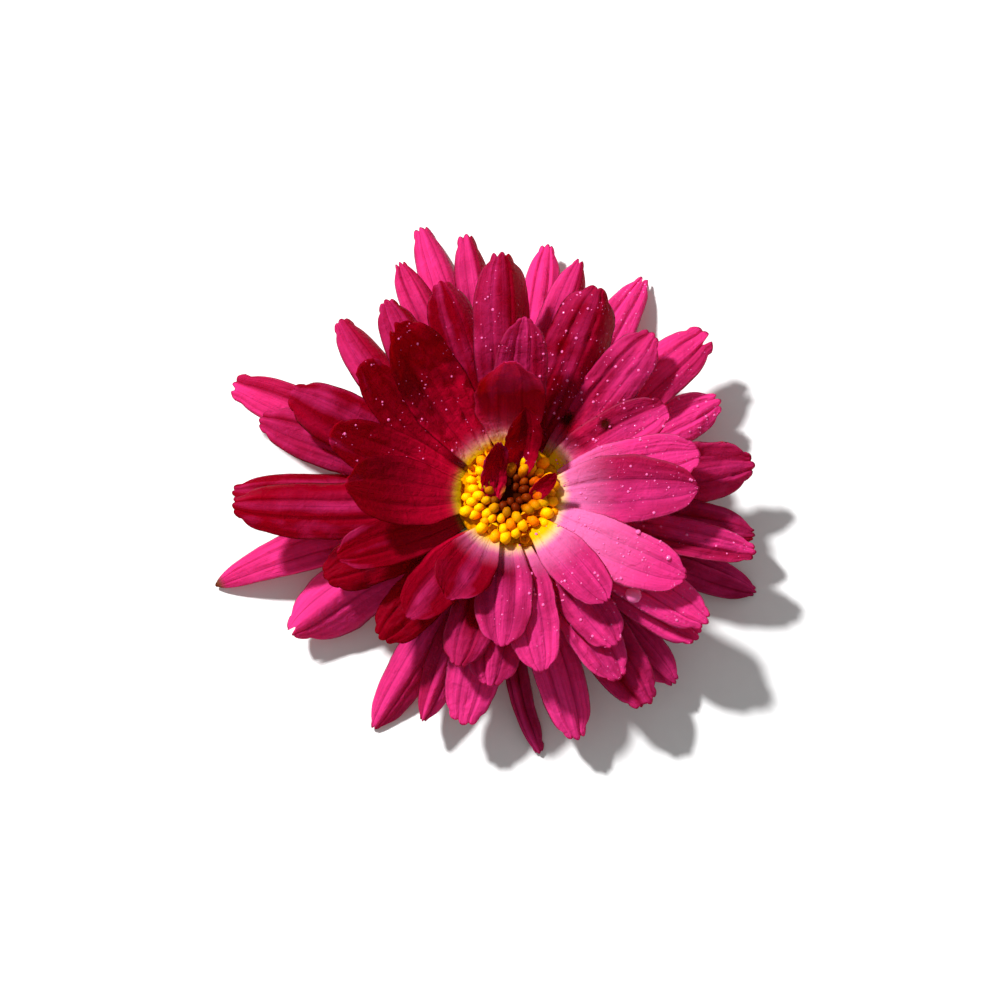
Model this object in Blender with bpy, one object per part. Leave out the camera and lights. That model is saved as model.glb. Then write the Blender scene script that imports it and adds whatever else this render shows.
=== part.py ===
# Chrysanthemum blossom, picked with a short stub of its stem and lying face up.
# It rests on the tips of its lowest ray florets and on the cut end of the stem.
# Units are metres, +Z is up, and the lengths below are millimetres times MM.

import math

import bmesh
import bpy
import numpy as np
from mathutils import Vector

MM = 0.001

# The flower's own axis stands off the origin, because the florets on the left and
# at the back are longer and the origin is at the middle of the whole outline.
AXIS_X = 3.05 * MM
AXIS_Y = -3.68 * MM

# Stem stub and receptacle, the swollen stem end that carries every floret.
STEM_RADIUS = 1.7 * MM
STEM_TOP = 2.6 * MM
CROWN_BOTTOM = 5.85 * MM
CROWN_TOP = 12.2 * MM
CROWN_DOME = 0.7 * MM
LATHE_STEPS = 24

# Where the ray florets grow: a slightly tapered flank, one level above another.
SEAT_LOW = 6.4 * MM
SEAT_PITCH = 0.58 * MM
SEAT_RADIUS = 7.6 * MM
SEAT_TAPER = 0.16
SEAT_GAP = 0.35 * MM

# Bract cup, the green bracts pressed together under the flower.
CUP_THICKNESS = 0.6 * MM
CUP_GAP = 0.3 * MM
CUP_INNER_RADIUS = 2.1 * MM
CUP_OUTER_RADIUS = 9.6 * MM
CUP_LOBE_DEPTH = 0.9 * MM
CUP_LOBES = 13
CUP_STEPS_PER_LOBE = 4
CUP_RINGS = 4

# Cushion of disc florets on top of the receptacle.
DISC_RADIUS = 6.1 * MM
DISC_BASE = 12.5 * MM
DISC_GAP = 0.3 * MM
DISC_EDGE_HEIGHT = 0.9 * MM
DISC_RISE = 0.55 * MM
DISC_RINGS = 7
DISC_STEPS = 28
BUD_RELIEF = 0.45 * MM

# Ray floret blades.
BLADE_THICKNESS = 0.4 * MM
BLADE_STEPS = 8
BLADE_STRIPS = 4
TIP_SHARE = 0.16

# Outline of a blade by kind: width at its foot as a share of the widest, where along
# it is widest, and how blunt its tip is.
OUTLINES = {
    "outer": (0.22, 0.56, 1.9),
    "middle": (0.26, 0.56, 2.2),
    "inner": (0.48, 0.52, 2.4),
    "centre": (0.42, 0.56, 2.0),
}

# One row for each ray floret round the disc, read off the flower seen from above:
# name, level on the receptacle, direction of the tip in degrees (0 is +X, 90 is +Y),
# reach of the tip from the axis, height of the tip, width, arch of the middle above
# the straight line, sideways sweep of the middle (all in millimetres), cupping of the
# edges as a share of the half width, and twist at the tip in degrees.
RAYS = [
    ("outer_01", 3, 156, 39.0, 6.0, 5.4, 1.0, 0.0, -0.12, 0),
    ("outer_02", 1, 194, 38.9, 0.6, 4.9, 2.4, -1.2, -0.12, 0),
    ("outer_03", 3, 210, 32.4, 5.0, 7.9, 1.5, 0.0, -0.16, 0),
    ("outer_04", 0, 238, 33.0, 0.6, 5.0, 1.8, 0.0, -0.12, 0),
    ("outer_05", 2, 248, 29.5, 5.0, 5.4, 1.5, 0.0, -0.12, 0),
    ("outer_06", 3, 258, 28.9, 7.0, 7.0, 1.5, 0.0, -0.12, 0),
    ("outer_07", 0, 277, 30.9, 0.6, 3.4, 1.8, -2.4, -0.10, 0),
    ("outer_08", 2, 286, 31.1, 5.5, 6.2, 1.5, 0.0, -0.12, 0),
    ("outer_09", 3, 304, 31.1, 8.0, 7.4, 1.5, 0.0, -0.12, 0),
    ("outer_10", 1, 313, 30.8, 4.5, 5.6, 1.5, 0.0, -0.12, 0),
    ("outer_11", 0, 342, 33.3, 0.6, 5.4, 1.8, 0.0, -0.12, 0),
    ("outer_12", 4, 348, 31.7, 9.6, 5.2, 1.2, 0.0, -0.12, 0),
    ("outer_13", 2, 353, 31.4, 6.6, 6.8, 1.5, 0.0, -0.12, 0),
    ("outer_14", 3, 9, 31.5, 8.4, 7.4, 1.2, 0.0, -0.12, 0),
    ("outer_15", 2, 27, 30.5, 6.0, 6.4, 1.2, 0.0, -0.12, 0),
    ("outer_16", 3, 41, 33.5, 8.0, 7.2, 1.2, 0.0, -0.12, 0),
    ("outer_17", 1, 60, 34.9, 0.6, 5.2, 2.2, 0.0, -0.12, 0),
    ("outer_18", 4, 74, 33.0, 8.0, 5.2, 1.0, 0.6, -0.12, 0),
    ("outer_19", 1, 82, 35.6, 2.5, 5.2, 1.2, 0.0, -0.12, 0),
    ("outer_20", 3, 99, 36.2, 6.0, 5.2, 1.0, 0.0, -0.12, 0),
    ("outer_21", 1, 107, 39.8, 0.6, 5.2, 2.2, 0.0, -0.12, 0),
    ("outer_22", 3, 114, 35.1, 6.0, 5.0, 1.0, 0.0, -0.12, 0),
    ("middle_01", 4, 133, 31.5, 12.0, 5.6, 0.8, 1.5, -0.08, 0),
    ("middle_02", 5, 122, 29.6, 14.0, 6.0, 0.6, 0.8, -0.08, 0),
    ("middle_03", 6, 108, 28.5, 15.5, 6.6, 0.3, 0.0, -0.08, 0),
    ("middle_04", 7, 92, 30.4, 18.5, 7.2, 0.8, 0.3, -0.08, 0),
    ("middle_05", 6, 67, 28.7, 16.0, 8.0, 0.6, 0.0, -0.08, 0),
    ("middle_06", 5, 49, 27.7, 13.5, 7.0, 0.8, 0.0, -0.08, 0),
    ("middle_07", 6, 327, 29.4, 12.6, 6.5, 1.2, 0.0, -0.08, 0),
    ("middle_08", 5, 323, 29.6, 11.2, 6.2, 0.8, 0.0, -0.08, 0),
    ("middle_09", 6, 305, 23.1, 13.3, 6.4, 1.0, 0.0, -0.08, 0),
    ("middle_10", 5, 301, 26.7, 11.2, 6.6, 1.0, 0.0, -0.08, 0),
    ("middle_11", 5, 264, 23.9, 11.2, 7.2, 1.0, 0.0, -0.08, 0),
    ("middle_12", 6, 253, 22.5, 13.3, 6.2, 1.0, 0.0, -0.08, 0),
    ("middle_13", 6, 228, 24.3, 12.3, 6.9, 1.0, 0.0, -0.08, 0),
    ("middle_14", 5, 203, 25.4, 11.0, 7.0, 1.0, 0.0, -0.08, 0),
    ("middle_15", 6, 182, 34.7, 13.6, 7.4, 0.8, 0.8, -0.08, 0),
    ("middle_16", 4, 162, 33.3, 11.0, 6.8, 0.8, 0.0, -0.08, 0),
    ("middle_17", 6, 155, 30.5, 15.0, 7.6, 0.4, 0.0, -0.08, 0),
    ("inner_01", 7, 11, 24.1, 14.2, 7.0, 1.0, 0.0, 0.10, 0),
    ("inner_02", 8, 1, 23.2, 14.9, 9.0, 1.0, 0.0, 0.10, 0),
    ("inner_03", 9, 334, 24.3, 15.8, 7.8, 1.2, 0.0, 0.10, 0),
    ("inner_04", 10, 311, 18.4, 16.4, 6.0, 0.6, 0.0, 0.10, 0),
    ("inner_05", 7, 280, 22.6, 13.8, 6.8, 0.8, 0.0, 0.10, 0),
    ("inner_06", 8, 267, 19.3, 15.2, 7.2, 0.4, 0.0, 0.10, 0),
    ("inner_07", 10, 240, 15.8, 17.6, 7.6, -0.8, 0.0, 0.10, 0),
    ("inner_08", 8, 231, 20.3, 16.0, 6.6, 0.4, 0.0, 0.10, 0),
    ("inner_09", 7, 202, 23.0, 18.5, 6.2, -0.2, 0.0, 0.10, 0),
    ("inner_10", 9, 181, 20.2, 23.0, 8.8, -1.0, 0.0, 0.10, 0),
    ("inner_11", 8, 164, 23.1, 22.0, 7.0, -0.8, 0.0, 0.10, 0),
    ("inner_12", 7, 139, 24.0, 20.5, 6.0, -0.6, 1.2, 0.10, 0),
    ("inner_13", 9, 126, 24.2, 25.0, 8.6, -1.2, 0.0, 0.10, 0),
    ("inner_14", 10, 90, 14.7, 26.0, 9.4, -1.4, 0.0, 0.10, 0),
    ("inner_15", 8, 85, 21.1, 22.0, 6.6, -0.4, 0.0, 0.10, 0),
    ("inner_16", 6, 30, 22.8, 13.2, 6.8, 0.6, 0.0, 0.10, 0),
]

# The ray florets that stand up among the disc florets: name, foot and tip from the axis
# (X, Y, Z in millimetres), width, arch, sweep, cupping and twist.
CENTRE_RAYS = [
    ("centre_1", (0.3, 3.0, 14.4), (2.4, 10.4, 19.6), 4.4, -0.5, 0.0, 0.30, 0),
    ("centre_2", (-1.8, -0.2, 14.6), (-1.2, 6.3, 18.2), 2.8, -0.4, 0.0, 0.30, 0),
]

MATERIALS = {
    "ray_magenta": ((0.72, 0.02, 0.19), 0.5),
    "ray_crimson": ((0.45, 0.005, 0.06), 0.5),
    "disc_yellow": ((0.85, 0.52, 0.02), 0.6),
    "stem_green": ((0.13, 0.24, 0.06), 0.65),
    "bract_green": ((0.10, 0.19, 0.05), 0.7),
}


def clear_scene():
    for obj in list(bpy.data.objects):
        bpy.data.objects.remove(obj)


def make_material(name):
    colour, roughness = MATERIALS[name]
    material = bpy.data.materials.new(name)
    material.use_nodes = True
    shader = material.node_tree.nodes["Principled BSDF"]
    shader.inputs["Base Color"].default_value = (*colour, 1.0)
    shader.inputs["Roughness"].default_value = roughness
    shader.inputs["Metallic"].default_value = 0.0
    return material


def add_object(name, mesh, material, parent, place=(0.0, 0.0, 0.0), heading=0.0):
    mesh.materials.append(material)
    mesh.shade_smooth()
    obj = bpy.data.objects.new(name, mesh)
    bpy.context.scene.collection.objects.link(obj)
    obj.parent = parent
    obj.location = place
    obj.rotation_euler.z = heading
    return obj


def mesh_from(bm, name):
    bmesh.ops.recalc_face_normals(bm, faces=bm.faces)
    mesh = bpy.data.meshes.new(name)
    bm.to_mesh(mesh)
    bm.free()
    return mesh


def flank_radius(height):
    """Radius at which a floret's foot stands at this height on the receptacle."""
    return SEAT_RADIUS - SEAT_TAPER * (height - SEAT_LOW)


def width_share(s, kind):
    """Half width along a blade from its foot, s = 0, to its tip, s = 1, as a share of the widest."""
    claw, widest_at, bluntness = OUTLINES[kind]
    if s < widest_at:
        return claw + (1 - claw) * math.sin(math.pi / 2 * s / widest_at) ** 1.2
    beyond = (s - widest_at) / (1 - widest_at)
    return max(TIP_SHARE, math.sqrt(max(0.0, 1 - beyond**bluntness)))


def blade_point(s, u, kind, span, rise, width, arch, sweep, cupping, twist):
    """Point of a blade whose foot is at 0,0,0 and whose tip is at span,0,rise.

    The midline is a curve through one control point. u runs across it from -1 to 1.
    """
    chord = math.hypot(span, rise)
    tip = np.array([span, 0.0, rise])
    crest = tip / 2 + 2 * arch * np.array([-rise, 0.0, span]) / chord
    crest = crest + 2 * sweep * np.array([0.0, 1.0, 0.0])
    midline = 2 * s * (1 - s) * crest + s * s * tip
    along = (1 - s) * crest + s * (tip - crest)
    along = along / np.linalg.norm(along)
    side = np.cross([0.0, 0.0, 1.0], along)
    side = side / np.linalg.norm(side)
    up = np.cross(along, side)
    turn = math.radians(twist) * s
    across = side * math.cos(turn) + up * math.sin(turn)
    above = up * math.cos(turn) - side * math.sin(turn)
    half = width / 2 * width_share(s, kind)
    return midline + across * half * u + above * cupping * half * u * u


def blade_mesh(name, *shape):
    """A flat grid bent into the blade, to be thickened by a modifier."""
    bm = bmesh.new()
    bmesh.ops.create_grid(bm, x_segments=BLADE_STEPS, y_segments=BLADE_STRIPS, size=0.5)
    for vert in bm.verts:
        vert.co = Vector(blade_point(vert.co.x + 0.5, 2 * vert.co.y, *shape))
    return mesh_from(bm, name)


def add_blade(name, foot, tip, shape, material, parent):
    """A ray floret between two points, turned so that its own X axis runs out to the tip."""
    reach = tip - foot
    heading = math.atan2(reach[1], reach[0])
    kind = name.split("_")[0]
    mesh = blade_mesh(name, kind, math.hypot(reach[0], reach[1]), reach[2], *shape)
    blade = add_object("petal_" + name, mesh, material, parent, foot, heading)
    skin = blade.modifiers.new("blade thickness", "SOLIDIFY")
    skin.thickness = BLADE_THICKNESS
    skin.offset = 0.0


def add_rays(material, crimson, parent):
    for name, level, azimuth, reach, height, width, arch, sweep, cupping, twist in RAYS:
        out = np.array([math.cos(math.radians(azimuth)), math.sin(math.radians(azimuth)), 0.0])
        foot_height = SEAT_LOW + SEAT_PITCH * level
        foot = out * flank_radius(foot_height) + [0.0, 0.0, foot_height]
        tip = out * reach * MM + [0.0, 0.0, height * MM]
        shape = (width * MM, arch * MM, sweep * MM, cupping, twist)
        add_blade(name, foot, tip, shape, material, parent)
    for name, foot, tip, width, arch, sweep, cupping, twist in CENTRE_RAYS:
        shape = (width * MM, arch * MM, sweep * MM, cupping, twist)
        add_blade(name, np.array(foot) * MM, np.array(tip) * MM, shape, crimson, parent)


def lathe(name, profile, material, parent):
    """A solid turned round the Z axis from (radius, height) points that start and end on it."""
    bm = bmesh.new()
    verts = [bm.verts.new((radius, 0.0, height)) for radius, height in profile]
    edges = [bm.edges.new(pair) for pair in zip(verts, verts[1:])]
    bmesh.ops.spin(
        bm, geom=verts + edges, cent=(0, 0, 0), axis=(0, 0, 1),
        angle=math.tau, steps=LATHE_STEPS, use_merge=True,
    )
    bmesh.ops.remove_doubles(bm, verts=bm.verts, dist=0.01 * MM)
    return add_object(name, mesh_from(bm, name), material, parent)


def under_crown(radius):
    """Height of the receptacle's underside at this radius: flat at the stem, rising to the flank."""
    share = (radius - STEM_RADIUS) / (SEAT_RADIUS - STEM_RADIUS)
    return STEM_TOP + (CROWN_BOTTOM - STEM_TOP) * max(0.0, share) ** 0.8


def add_stem_and_receptacle(material, parent):
    flank_low = flank_radius(CROWN_BOTTOM) - SEAT_GAP
    flank_high = flank_radius(CROWN_TOP) - SEAT_GAP
    profile = [(0.0, 0.0), (STEM_RADIUS, 0.0), (STEM_RADIUS, STEM_TOP)]
    for share in (0.25, 0.5, 0.75):
        radius = STEM_RADIUS + (flank_low - STEM_RADIUS) * share
        profile.append((radius, under_crown(radius)))
    profile += [(flank_low, CROWN_BOTTOM), (flank_high, CROWN_TOP - 0.3 * MM)]
    profile += [(flank_high - 0.4 * MM, CROWN_TOP)]
    for share in (0.6, 0.3, 0.0):
        profile.append((flank_high * share, CROWN_TOP + CROWN_DOME * (1 - share * share)))
    lathe("stem_and_receptacle", profile, material, parent)


def add_bract_cup(material, parent):
    """The bracts as one shallow cup under the receptacle, its rim cut into their tips."""
    steps = CUP_LOBES * CUP_STEPS_PER_LOBE
    bm = bmesh.new()
    rings = []
    for ring in range(CUP_RINGS + 1):
        share = ring / CUP_RINGS
        verts = []
        for step in range(steps):
            angle = math.tau * step / steps
            lobe = CUP_LOBE_DEPTH * math.cos(CUP_LOBES * angle) * share**3
            radius = CUP_INNER_RADIUS + (CUP_OUTER_RADIUS - CUP_INNER_RADIUS) * share + lobe
            rise = under_crown(min(radius, SEAT_RADIUS)) - CUP_GAP - CUP_THICKNESS / 2
            flare = 0.25 * max(0.0, radius - SEAT_RADIUS)
            place = (radius * math.cos(angle), radius * math.sin(angle), rise - 0.2 * MM - flare)
            verts.append(bm.verts.new(place))
        rings.append(verts)
    for low, high in zip(rings, rings[1:]):
        for step in range(steps):
            after = (step + 1) % steps
            bm.faces.new((low[step], low[after], high[after], high[step]))
    cup = add_object("bract_cup", mesh_from(bm, "bract_cup"), material, parent)
    skin = cup.modifiers.new("bract thickness", "SOLIDIFY")
    skin.thickness = CUP_THICKNESS
    skin.offset = 0.0


def add_disc(material, parent):
    """The disc florets as one cushion, with a low bump for each bud in staggered rings."""
    bm = bmesh.new()
    rings = []
    for ring in range(1, DISC_RINGS + 1):
        share = ring / DISC_RINGS
        verts = []
        for step in range(DISC_STEPS):
            angle = math.tau * (step + 0.5 * (ring % 2)) / DISC_STEPS
            bump = BUD_RELIEF * (step % 2) if ring < DISC_RINGS else 0.0
            height = DISC_BASE + DISC_EDGE_HEIGHT + DISC_RISE * (1 - share * share) + bump
            radius = DISC_RADIUS * share
            verts.append(bm.verts.new((radius * math.cos(angle), radius * math.sin(angle), height)))
        rings.append(verts)
    floor_ring = [
        bm.verts.new((vert.co.x, vert.co.y, DISC_BASE)) for vert in rings[-1]
    ]
    rings.append(floor_ring)
    middle = bm.verts.new((0.0, 0.0, DISC_BASE + DISC_EDGE_HEIGHT + DISC_RISE + BUD_RELIEF))
    under = bm.verts.new((0.0, 0.0, DISC_BASE + CROWN_DOME))
    for step in range(DISC_STEPS):
        after = (step + 1) % DISC_STEPS
        bm.faces.new((middle, rings[0][step], rings[0][after]))
        bm.faces.new((under, floor_ring[after], floor_ring[step]))
        for inner, outer in zip(rings, rings[1:]):
            bm.faces.new((inner[step], outer[step], outer[after], inner[after]))
    add_object("disc_florets", mesh_from(bm, "disc_florets"), material, parent)


def main():
    clear_scene()
    axis = bpy.data.objects.new("flower_axis", None)
    bpy.context.scene.collection.objects.link(axis)
    axis.location = (AXIS_X, AXIS_Y, 0.0)
    finish = {name: make_material(name) for name in MATERIALS}
    add_stem_and_receptacle(finish["stem_green"], axis)
    add_bract_cup(finish["bract_green"], axis)
    add_disc(finish["disc_yellow"], axis)
    add_rays(finish["ray_magenta"], finish["ray_crimson"], axis)


main()
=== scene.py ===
import math

import bmesh
import bpy
from mathutils import Matrix, Vector


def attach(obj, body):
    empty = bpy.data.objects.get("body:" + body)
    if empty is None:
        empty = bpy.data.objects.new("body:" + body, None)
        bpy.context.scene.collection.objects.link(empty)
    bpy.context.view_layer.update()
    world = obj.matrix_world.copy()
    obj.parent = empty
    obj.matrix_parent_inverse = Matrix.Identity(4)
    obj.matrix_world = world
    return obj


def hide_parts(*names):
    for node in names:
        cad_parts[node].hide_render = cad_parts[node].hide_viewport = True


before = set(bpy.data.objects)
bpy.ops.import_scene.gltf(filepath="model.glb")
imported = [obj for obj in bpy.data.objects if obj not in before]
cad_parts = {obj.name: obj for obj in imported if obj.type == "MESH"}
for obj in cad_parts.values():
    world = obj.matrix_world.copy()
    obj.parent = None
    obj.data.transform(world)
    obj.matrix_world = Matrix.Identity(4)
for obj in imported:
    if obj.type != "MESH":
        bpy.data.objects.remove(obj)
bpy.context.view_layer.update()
scene = bpy.context.scene
mm = 0.001
maths, vectorMaths = "ShaderNodeMath", "ShaderNodeVectorMath"
clamped = {"use_clamp": True}
golden = math.radians(137.508)   # the turn from one bud to the next in a flower head

# The flower's own measures, in mm, as the CAD model has them.
flower = {"axisX": 3.05, "axisY": -3.68, "seatLow": 6.4, "seatPitch": 0.58, "seatRadius": 7.6, "seatTaper": 0.16}
axis = Vector((flower["axisX"], flower["axisY"], 0)) * mm


def linearColour(hexCode):
    parts = [int(hexCode[i:i + 2], 16) / 255 for i in (1, 3, 5)]
    return [p / 12.92 if p <= 0.04045 else ((p + 0.055) / 1.055) ** 2.4 for p in parts] + [1.0]


def paints(look):
    # the colours of a skin, ready for its nodes
    return {name: linearColour(value) for name, value in look.items() if isinstance(value, str)}


def addNode(tree, kind, links=None, **settings):
    # settings are the node's own properties, links fill its inputs with a node, an output or a value
    node = tree.nodes.new(kind)
    for name, value in settings.items():
        setattr(node, name, value)
    for name, source in (links or {}).items():
        socket = node.inputs[name]
        if isinstance(source, bpy.types.Node):
            source = next(o for o in source.outputs if o.enabled)
        if isinstance(source, bpy.types.NodeSocket):
            tree.links.new(source, socket)
        else:
            socket.default_value = source
    return node


def chain(tree, kind, value, *steps):
    # A run of nodes, each fed by the one before it. A step names its operation, its other inputs and,
    # as a dictionary, further settings. "range" maps from two values to two others, "ease" softly so.
    for operation, *others in steps:
        settings = others.pop() if others and isinstance(others[-1], dict) else {}
        links = dict(enumerate([value, *others]))
        if operation in ("range", "ease"):
            way = {"range": "LINEAR", "ease": "SMOOTHSTEP"}[operation]
            value = addNode(tree, "ShaderNodeMapRange", links, interpolation_type=way)
        else:
            value = addNode(tree, kind, links, operation=operation, **settings)
    return value


def newTree(name, inputs):
    tree = bpy.data.node_groups.new(name, "GeometryNodeTree")
    for label, kind in inputs.items():
        tree.interface.new_socket(name=label, in_out="INPUT", socket_type="NodeSocket" + kind)
    tree.interface.new_socket(name="Geometry", in_out="OUTPUT", socket_type="NodeSocketGeometry")
    return tree


def growPiece(name, tree, values, mesh=None):
    # runs the tree once on a fresh object and keeps only the plain mesh that comes out
    piece = bpy.data.objects.new(name, mesh or bpy.data.meshes.new(name + "_seed"))
    scene.collection.objects.link(piece)
    modifier = piece.modifiers.new(tree.name, "NODES")
    modifier.node_group = tree
    sockets = {item.name: item.identifier for item in tree.interface.items_tree if item.in_out == "INPUT"}
    for label, value in values.items():
        modifier[sockets[label]] = value
    graph = bpy.context.evaluated_depsgraph_get()
    grown = bpy.data.meshes.new_from_object(piece.evaluated_get(graph), preserve_all_data_layers=True, depsgraph=graph)
    piece.modifiers.remove(modifier)
    piece.data = grown
    grown.name = name
    return piece


def fillRamp(ramp, *stops):
    elements = ramp.color_ramp.elements
    for at, (position, colour) in enumerate(stops):
        element = elements[at] if at < 2 else elements.new(position)
        element.position, element.color = position, colour
    return ramp.outputs["Color"]


def closeTree(tree, shape, skin):
    # every piece ends as one realized mesh in its own material
    shape = addNode(tree, "GeometryNodeRealizeInstances", {"Geometry": shape})
    shape = addNode(tree, "GeometryNodeSetMaterial", {"Geometry": shape, "Material": skin})
    addNode(tree, "NodeGroupOutput", {"Geometry": shape})
    return tree


def newMaterial(name):
    material = bpy.data.materials.new(name)
    material.use_nodes = True
    tree = material.node_tree
    tree.nodes.clear()
    return material, tree, addNode(tree, "ShaderNodeOutputMaterial")


# Ray petal skin: a thin, moist living blade. Satin gloss from its tiny domed cells, deep red light
# coming through from behind, veins, papery wrinkles and two pleats along its length.
petalSkin = {
    "bright": "#EE3C96", "deep": "#7A0018", "paintedSideShade": "#8E001E", "warm": "#E40C40", "paintedShadowBlotch": "#38000A",
    "through": "#E6001C", "dried": "#5E4A30", "rotten": "#2A1008", "claw": "#FFD400", "greenClaw": "#C4B000",
    "cream": "#FFE9A8", "blush": "#F282C6", "rim": "#FF9CCB", "gloss": "#FF6CA4",
    "clawFrom": -0.4, "clawEdge": 0.9, "creamTo": 1.7, "blushTo": 7.5,    # mm past the yellow claw, at full glow
    "roughness": 0.4, "letThrough": 0.55,
    "veins": 19, "veinDepth": 0.2, "bands": 3.6, "blotchSize": 3.5,       # counts across, sizes and depths in mm
    "cellSize": 0.22, "cellDepth": 0.06,                                  # real cells are 0.03 mm, drawn coarser
    "wrinkleSize": 1.1, "wrinkleDepth": 0.3,                              # papery puckers between the veins
}


def makePetalSkin():
    look, paint = petalSkin, paints(petalSkin)
    material, tree, output = newMaterial("living ray petal")
    uv = addNode(tree, "ShaderNodeUVMap", uv_map="PetalMap")
    uvParts = addNode(tree, "ShaderNodeSeparateXYZ", {0: uv.outputs["UV"]})
    across, along = uvParts.outputs["X"], uvParts.outputs["Y"]
    tone, glow, wither, clawTo, seed, bruise, paintedSideShade, warm = (
        addNode(tree, "ShaderNodeAttribute", attribute_name=name).outputs["Fac"]
        for name in ("tone", "glow", "wither", "yellow", "seed", "bruise", "paintedSideShade", "warm"))
    here = addNode(tree, "ShaderNodeTexCoord").outputs["Object"]

    # veins run the length of the blade, over broader bands of deeper and paler flesh
    grown = addNode(tree, "ShaderNodeCombineXYZ", {0: across, 1: along, 2: seed})
    stretched = addNode(tree, "ShaderNodeMapping", {"Vector": grown, "Scale": (look["veins"], 1.6, 1)})
    banded = addNode(tree, "ShaderNodeMapping", {"Vector": grown, "Scale": (look["bands"], 1.3, 1)})
    bands = addNode(tree, "ShaderNodeTexNoise", {"Vector": banded, "Scale": 1.0, "Detail": 1.0})
    veins = addNode(tree, "ShaderNodeTexNoise", {"Vector": stretched, "Scale": 1.0, "Detail": 3.0, "Roughness": 0.6,
                                                 "Distortion": 0.4})
    blotch = addNode(tree, "ShaderNodeTexNoise", {"Vector": here, "Scale": 1 / (look["blotchSize"] * mm),
                                                  "Detail": 2.0})
    cells = addNode(tree, "ShaderNodeTexNoise", {"Vector": here, "Scale": 1 / (look["cellSize"] * mm), "Detail": 1.0})
    wrinkles = addNode(tree, "ShaderNodeTexNoise", {"Vector": here, "Scale": 1 / (look["wrinkleSize"] * mm),
                                                    "Detail": 2.0, "Distortion": 0.7})

    # two pleats at a third and two thirds of the width, painted darker in their grooves: painted shade in the creases
    paintedCreaseShade = chain(tree, maths, across, ("MULTIPLY", 3 * math.pi), ("SINE",), ("ABSOLUTE",), ("range", 0.0, 0.24, 0.6))

    # each petal's tone moves its flesh from deep crimson to bright pink: partly the petal's own colour, partly painted
    # shade on the petals that lie in shadow or face away from the lamp
    toneMix = chain(tree, maths, blotch, ("MULTIPLY_ADD", 0.7, tone))
    toneMix = chain(tree, maths, bands, ("MULTIPLY_ADD", 1.2, toneMix))
    toneMix = chain(tree, maths, along, ("MULTIPLY_ADD", 0.35, toneMix), ("SUBTRACT", 1.3, clamped))
    # dark blotches on the petals of lowest tone: painted shadow where the crumpled blade shades itself
    paintedShadowBlotch = chain(tree, maths, tone, ("MULTIPLY", -3.2, clamped))
    paintedShadowBlotch = chain(tree, maths, blotch, ("ease", 0.42, 0.6, 0.0, 0.85), ("MULTIPLY", paintedShadowBlotch))
    # a brighter crimson towards the foot: partly the petal's own colour, partly painted light shining through the blade
    # where it lies in shade
    nearFoot = chain(tree, maths, along, ("ease", 0.1, 0.75, warm, 0.0))
    # deep to bright by tone, then painted side shade, painted shadow blotches and a brighter foot laid over it
    flesh = paint["deep"]
    for share, coat in ((toneMix, "bright"), (paintedSideShade, "paintedSideShade"), (paintedShadowBlotch, "paintedShadowBlotch"), (nearFoot, "warm")):
        flesh = addNode(tree, "ShaderNodeMix", {0: share, 6: flesh, 7: paint[coat]}, data_type="RGBA").outputs[2]
    # the veins' own darker lines, times the painted crease shade of the pleats
    shade = chain(tree, maths, veins, ("range", 0.35, 0.65, 0.78, 1.1), ("MULTIPLY", paintedCreaseShade))
    flesh = chain(tree, vectorMaths, flesh, ("MULTIPLY", shade))

    # a thin paler rim where the light comes through both edges
    rim = chain(tree, maths, across, ("MULTIPLY_ADD", 2.0, -1.0), ("ABSOLUTE",), ("range", 0.9, 1.0, 0.0, 0.15),
                ("MULTIPLY", toneMix))
    flesh = addNode(tree, "ShaderNodeMix", {0: rim, 6: flesh, 7: paint["rim"]}, data_type="RGBA").outputs[2]

    # yellow claw, cream and blush by distance from the flower's axis, streaked by the veins
    radius = chain(tree, vectorMaths, here, ("SUBTRACT", tuple(axis)), ("MULTIPLY", (1, 1, 0)),
                   ("LENGTH",)).outputs["Value"]
    past = chain(tree, maths, radius, ("SUBTRACT", clawTo))
    past = chain(tree, maths, veins, ("MULTIPLY_ADD", 0.8 * mm, -0.4 * mm), ("ADD", past))
    # each petal's glow widens and strengthens the pale paint: partly the pale base the petals have, partly painted
    # light where light shines through them
    spread = chain(tree, maths, past, ("DIVIDE", glow))
    pale = chain(tree, maths, glow, ("MULTIPLY_ADD", 1.5, -0.15, clamped))
    # claws of low-glow petals turn greener: partly their own colour, partly painted shade on the shaded petals
    green = chain(tree, maths, glow, ("MULTIPLY_ADD", 2.5, -0.3, clamped))
    clawColour = addNode(tree, "ShaderNodeMix", {0: green, 6: paint["greenClaw"],
                                                 7: paint["claw"]}, data_type="RGBA").outputs[2]
    colour = flesh
    for coat, distance, near, far, most in ((paint["blush"], spread, 0.0, look["blushTo"], pale),
                                            (paint["cream"], past, 0.2, look["creamTo"], pale),
                                            (clawColour, past, look["clawFrom"], look["clawEdge"], 1.0)):
        ring = chain(tree, maths, distance, ("ease", near * mm, far * mm, most, 0.0))
        colour = addNode(tree, "ShaderNodeMix", {0: ring, 6: colour, 7: coat}, data_type="RGBA").outputs[2]

    # the dried brown point that some blades have
    dry = chain(tree, maths, wither, ("MULTIPLY_ADD", -0.07, 1.0))
    dry = chain(tree, maths, along, ("SUBTRACT", dry), ("MULTIPLY", 30.0, clamped))
    colour = addNode(tree, "ShaderNodeMix", {0: dry, 6: colour, 7: paint["dried"]}, data_type="RGBA").outputs[2]

    # sunken brown spots of decay, darkest in their middle
    rot = chain(tree, maths, cells, ("MULTIPLY_ADD", 0.5, -0.25), ("ADD", bruise), ("range", 0.35, 0.7))
    colour = addNode(tree, "ShaderNodeMix", {0: rot, 6: colour, 7: paint["rotten"]}, data_type="RGBA").outputs[2]

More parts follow.
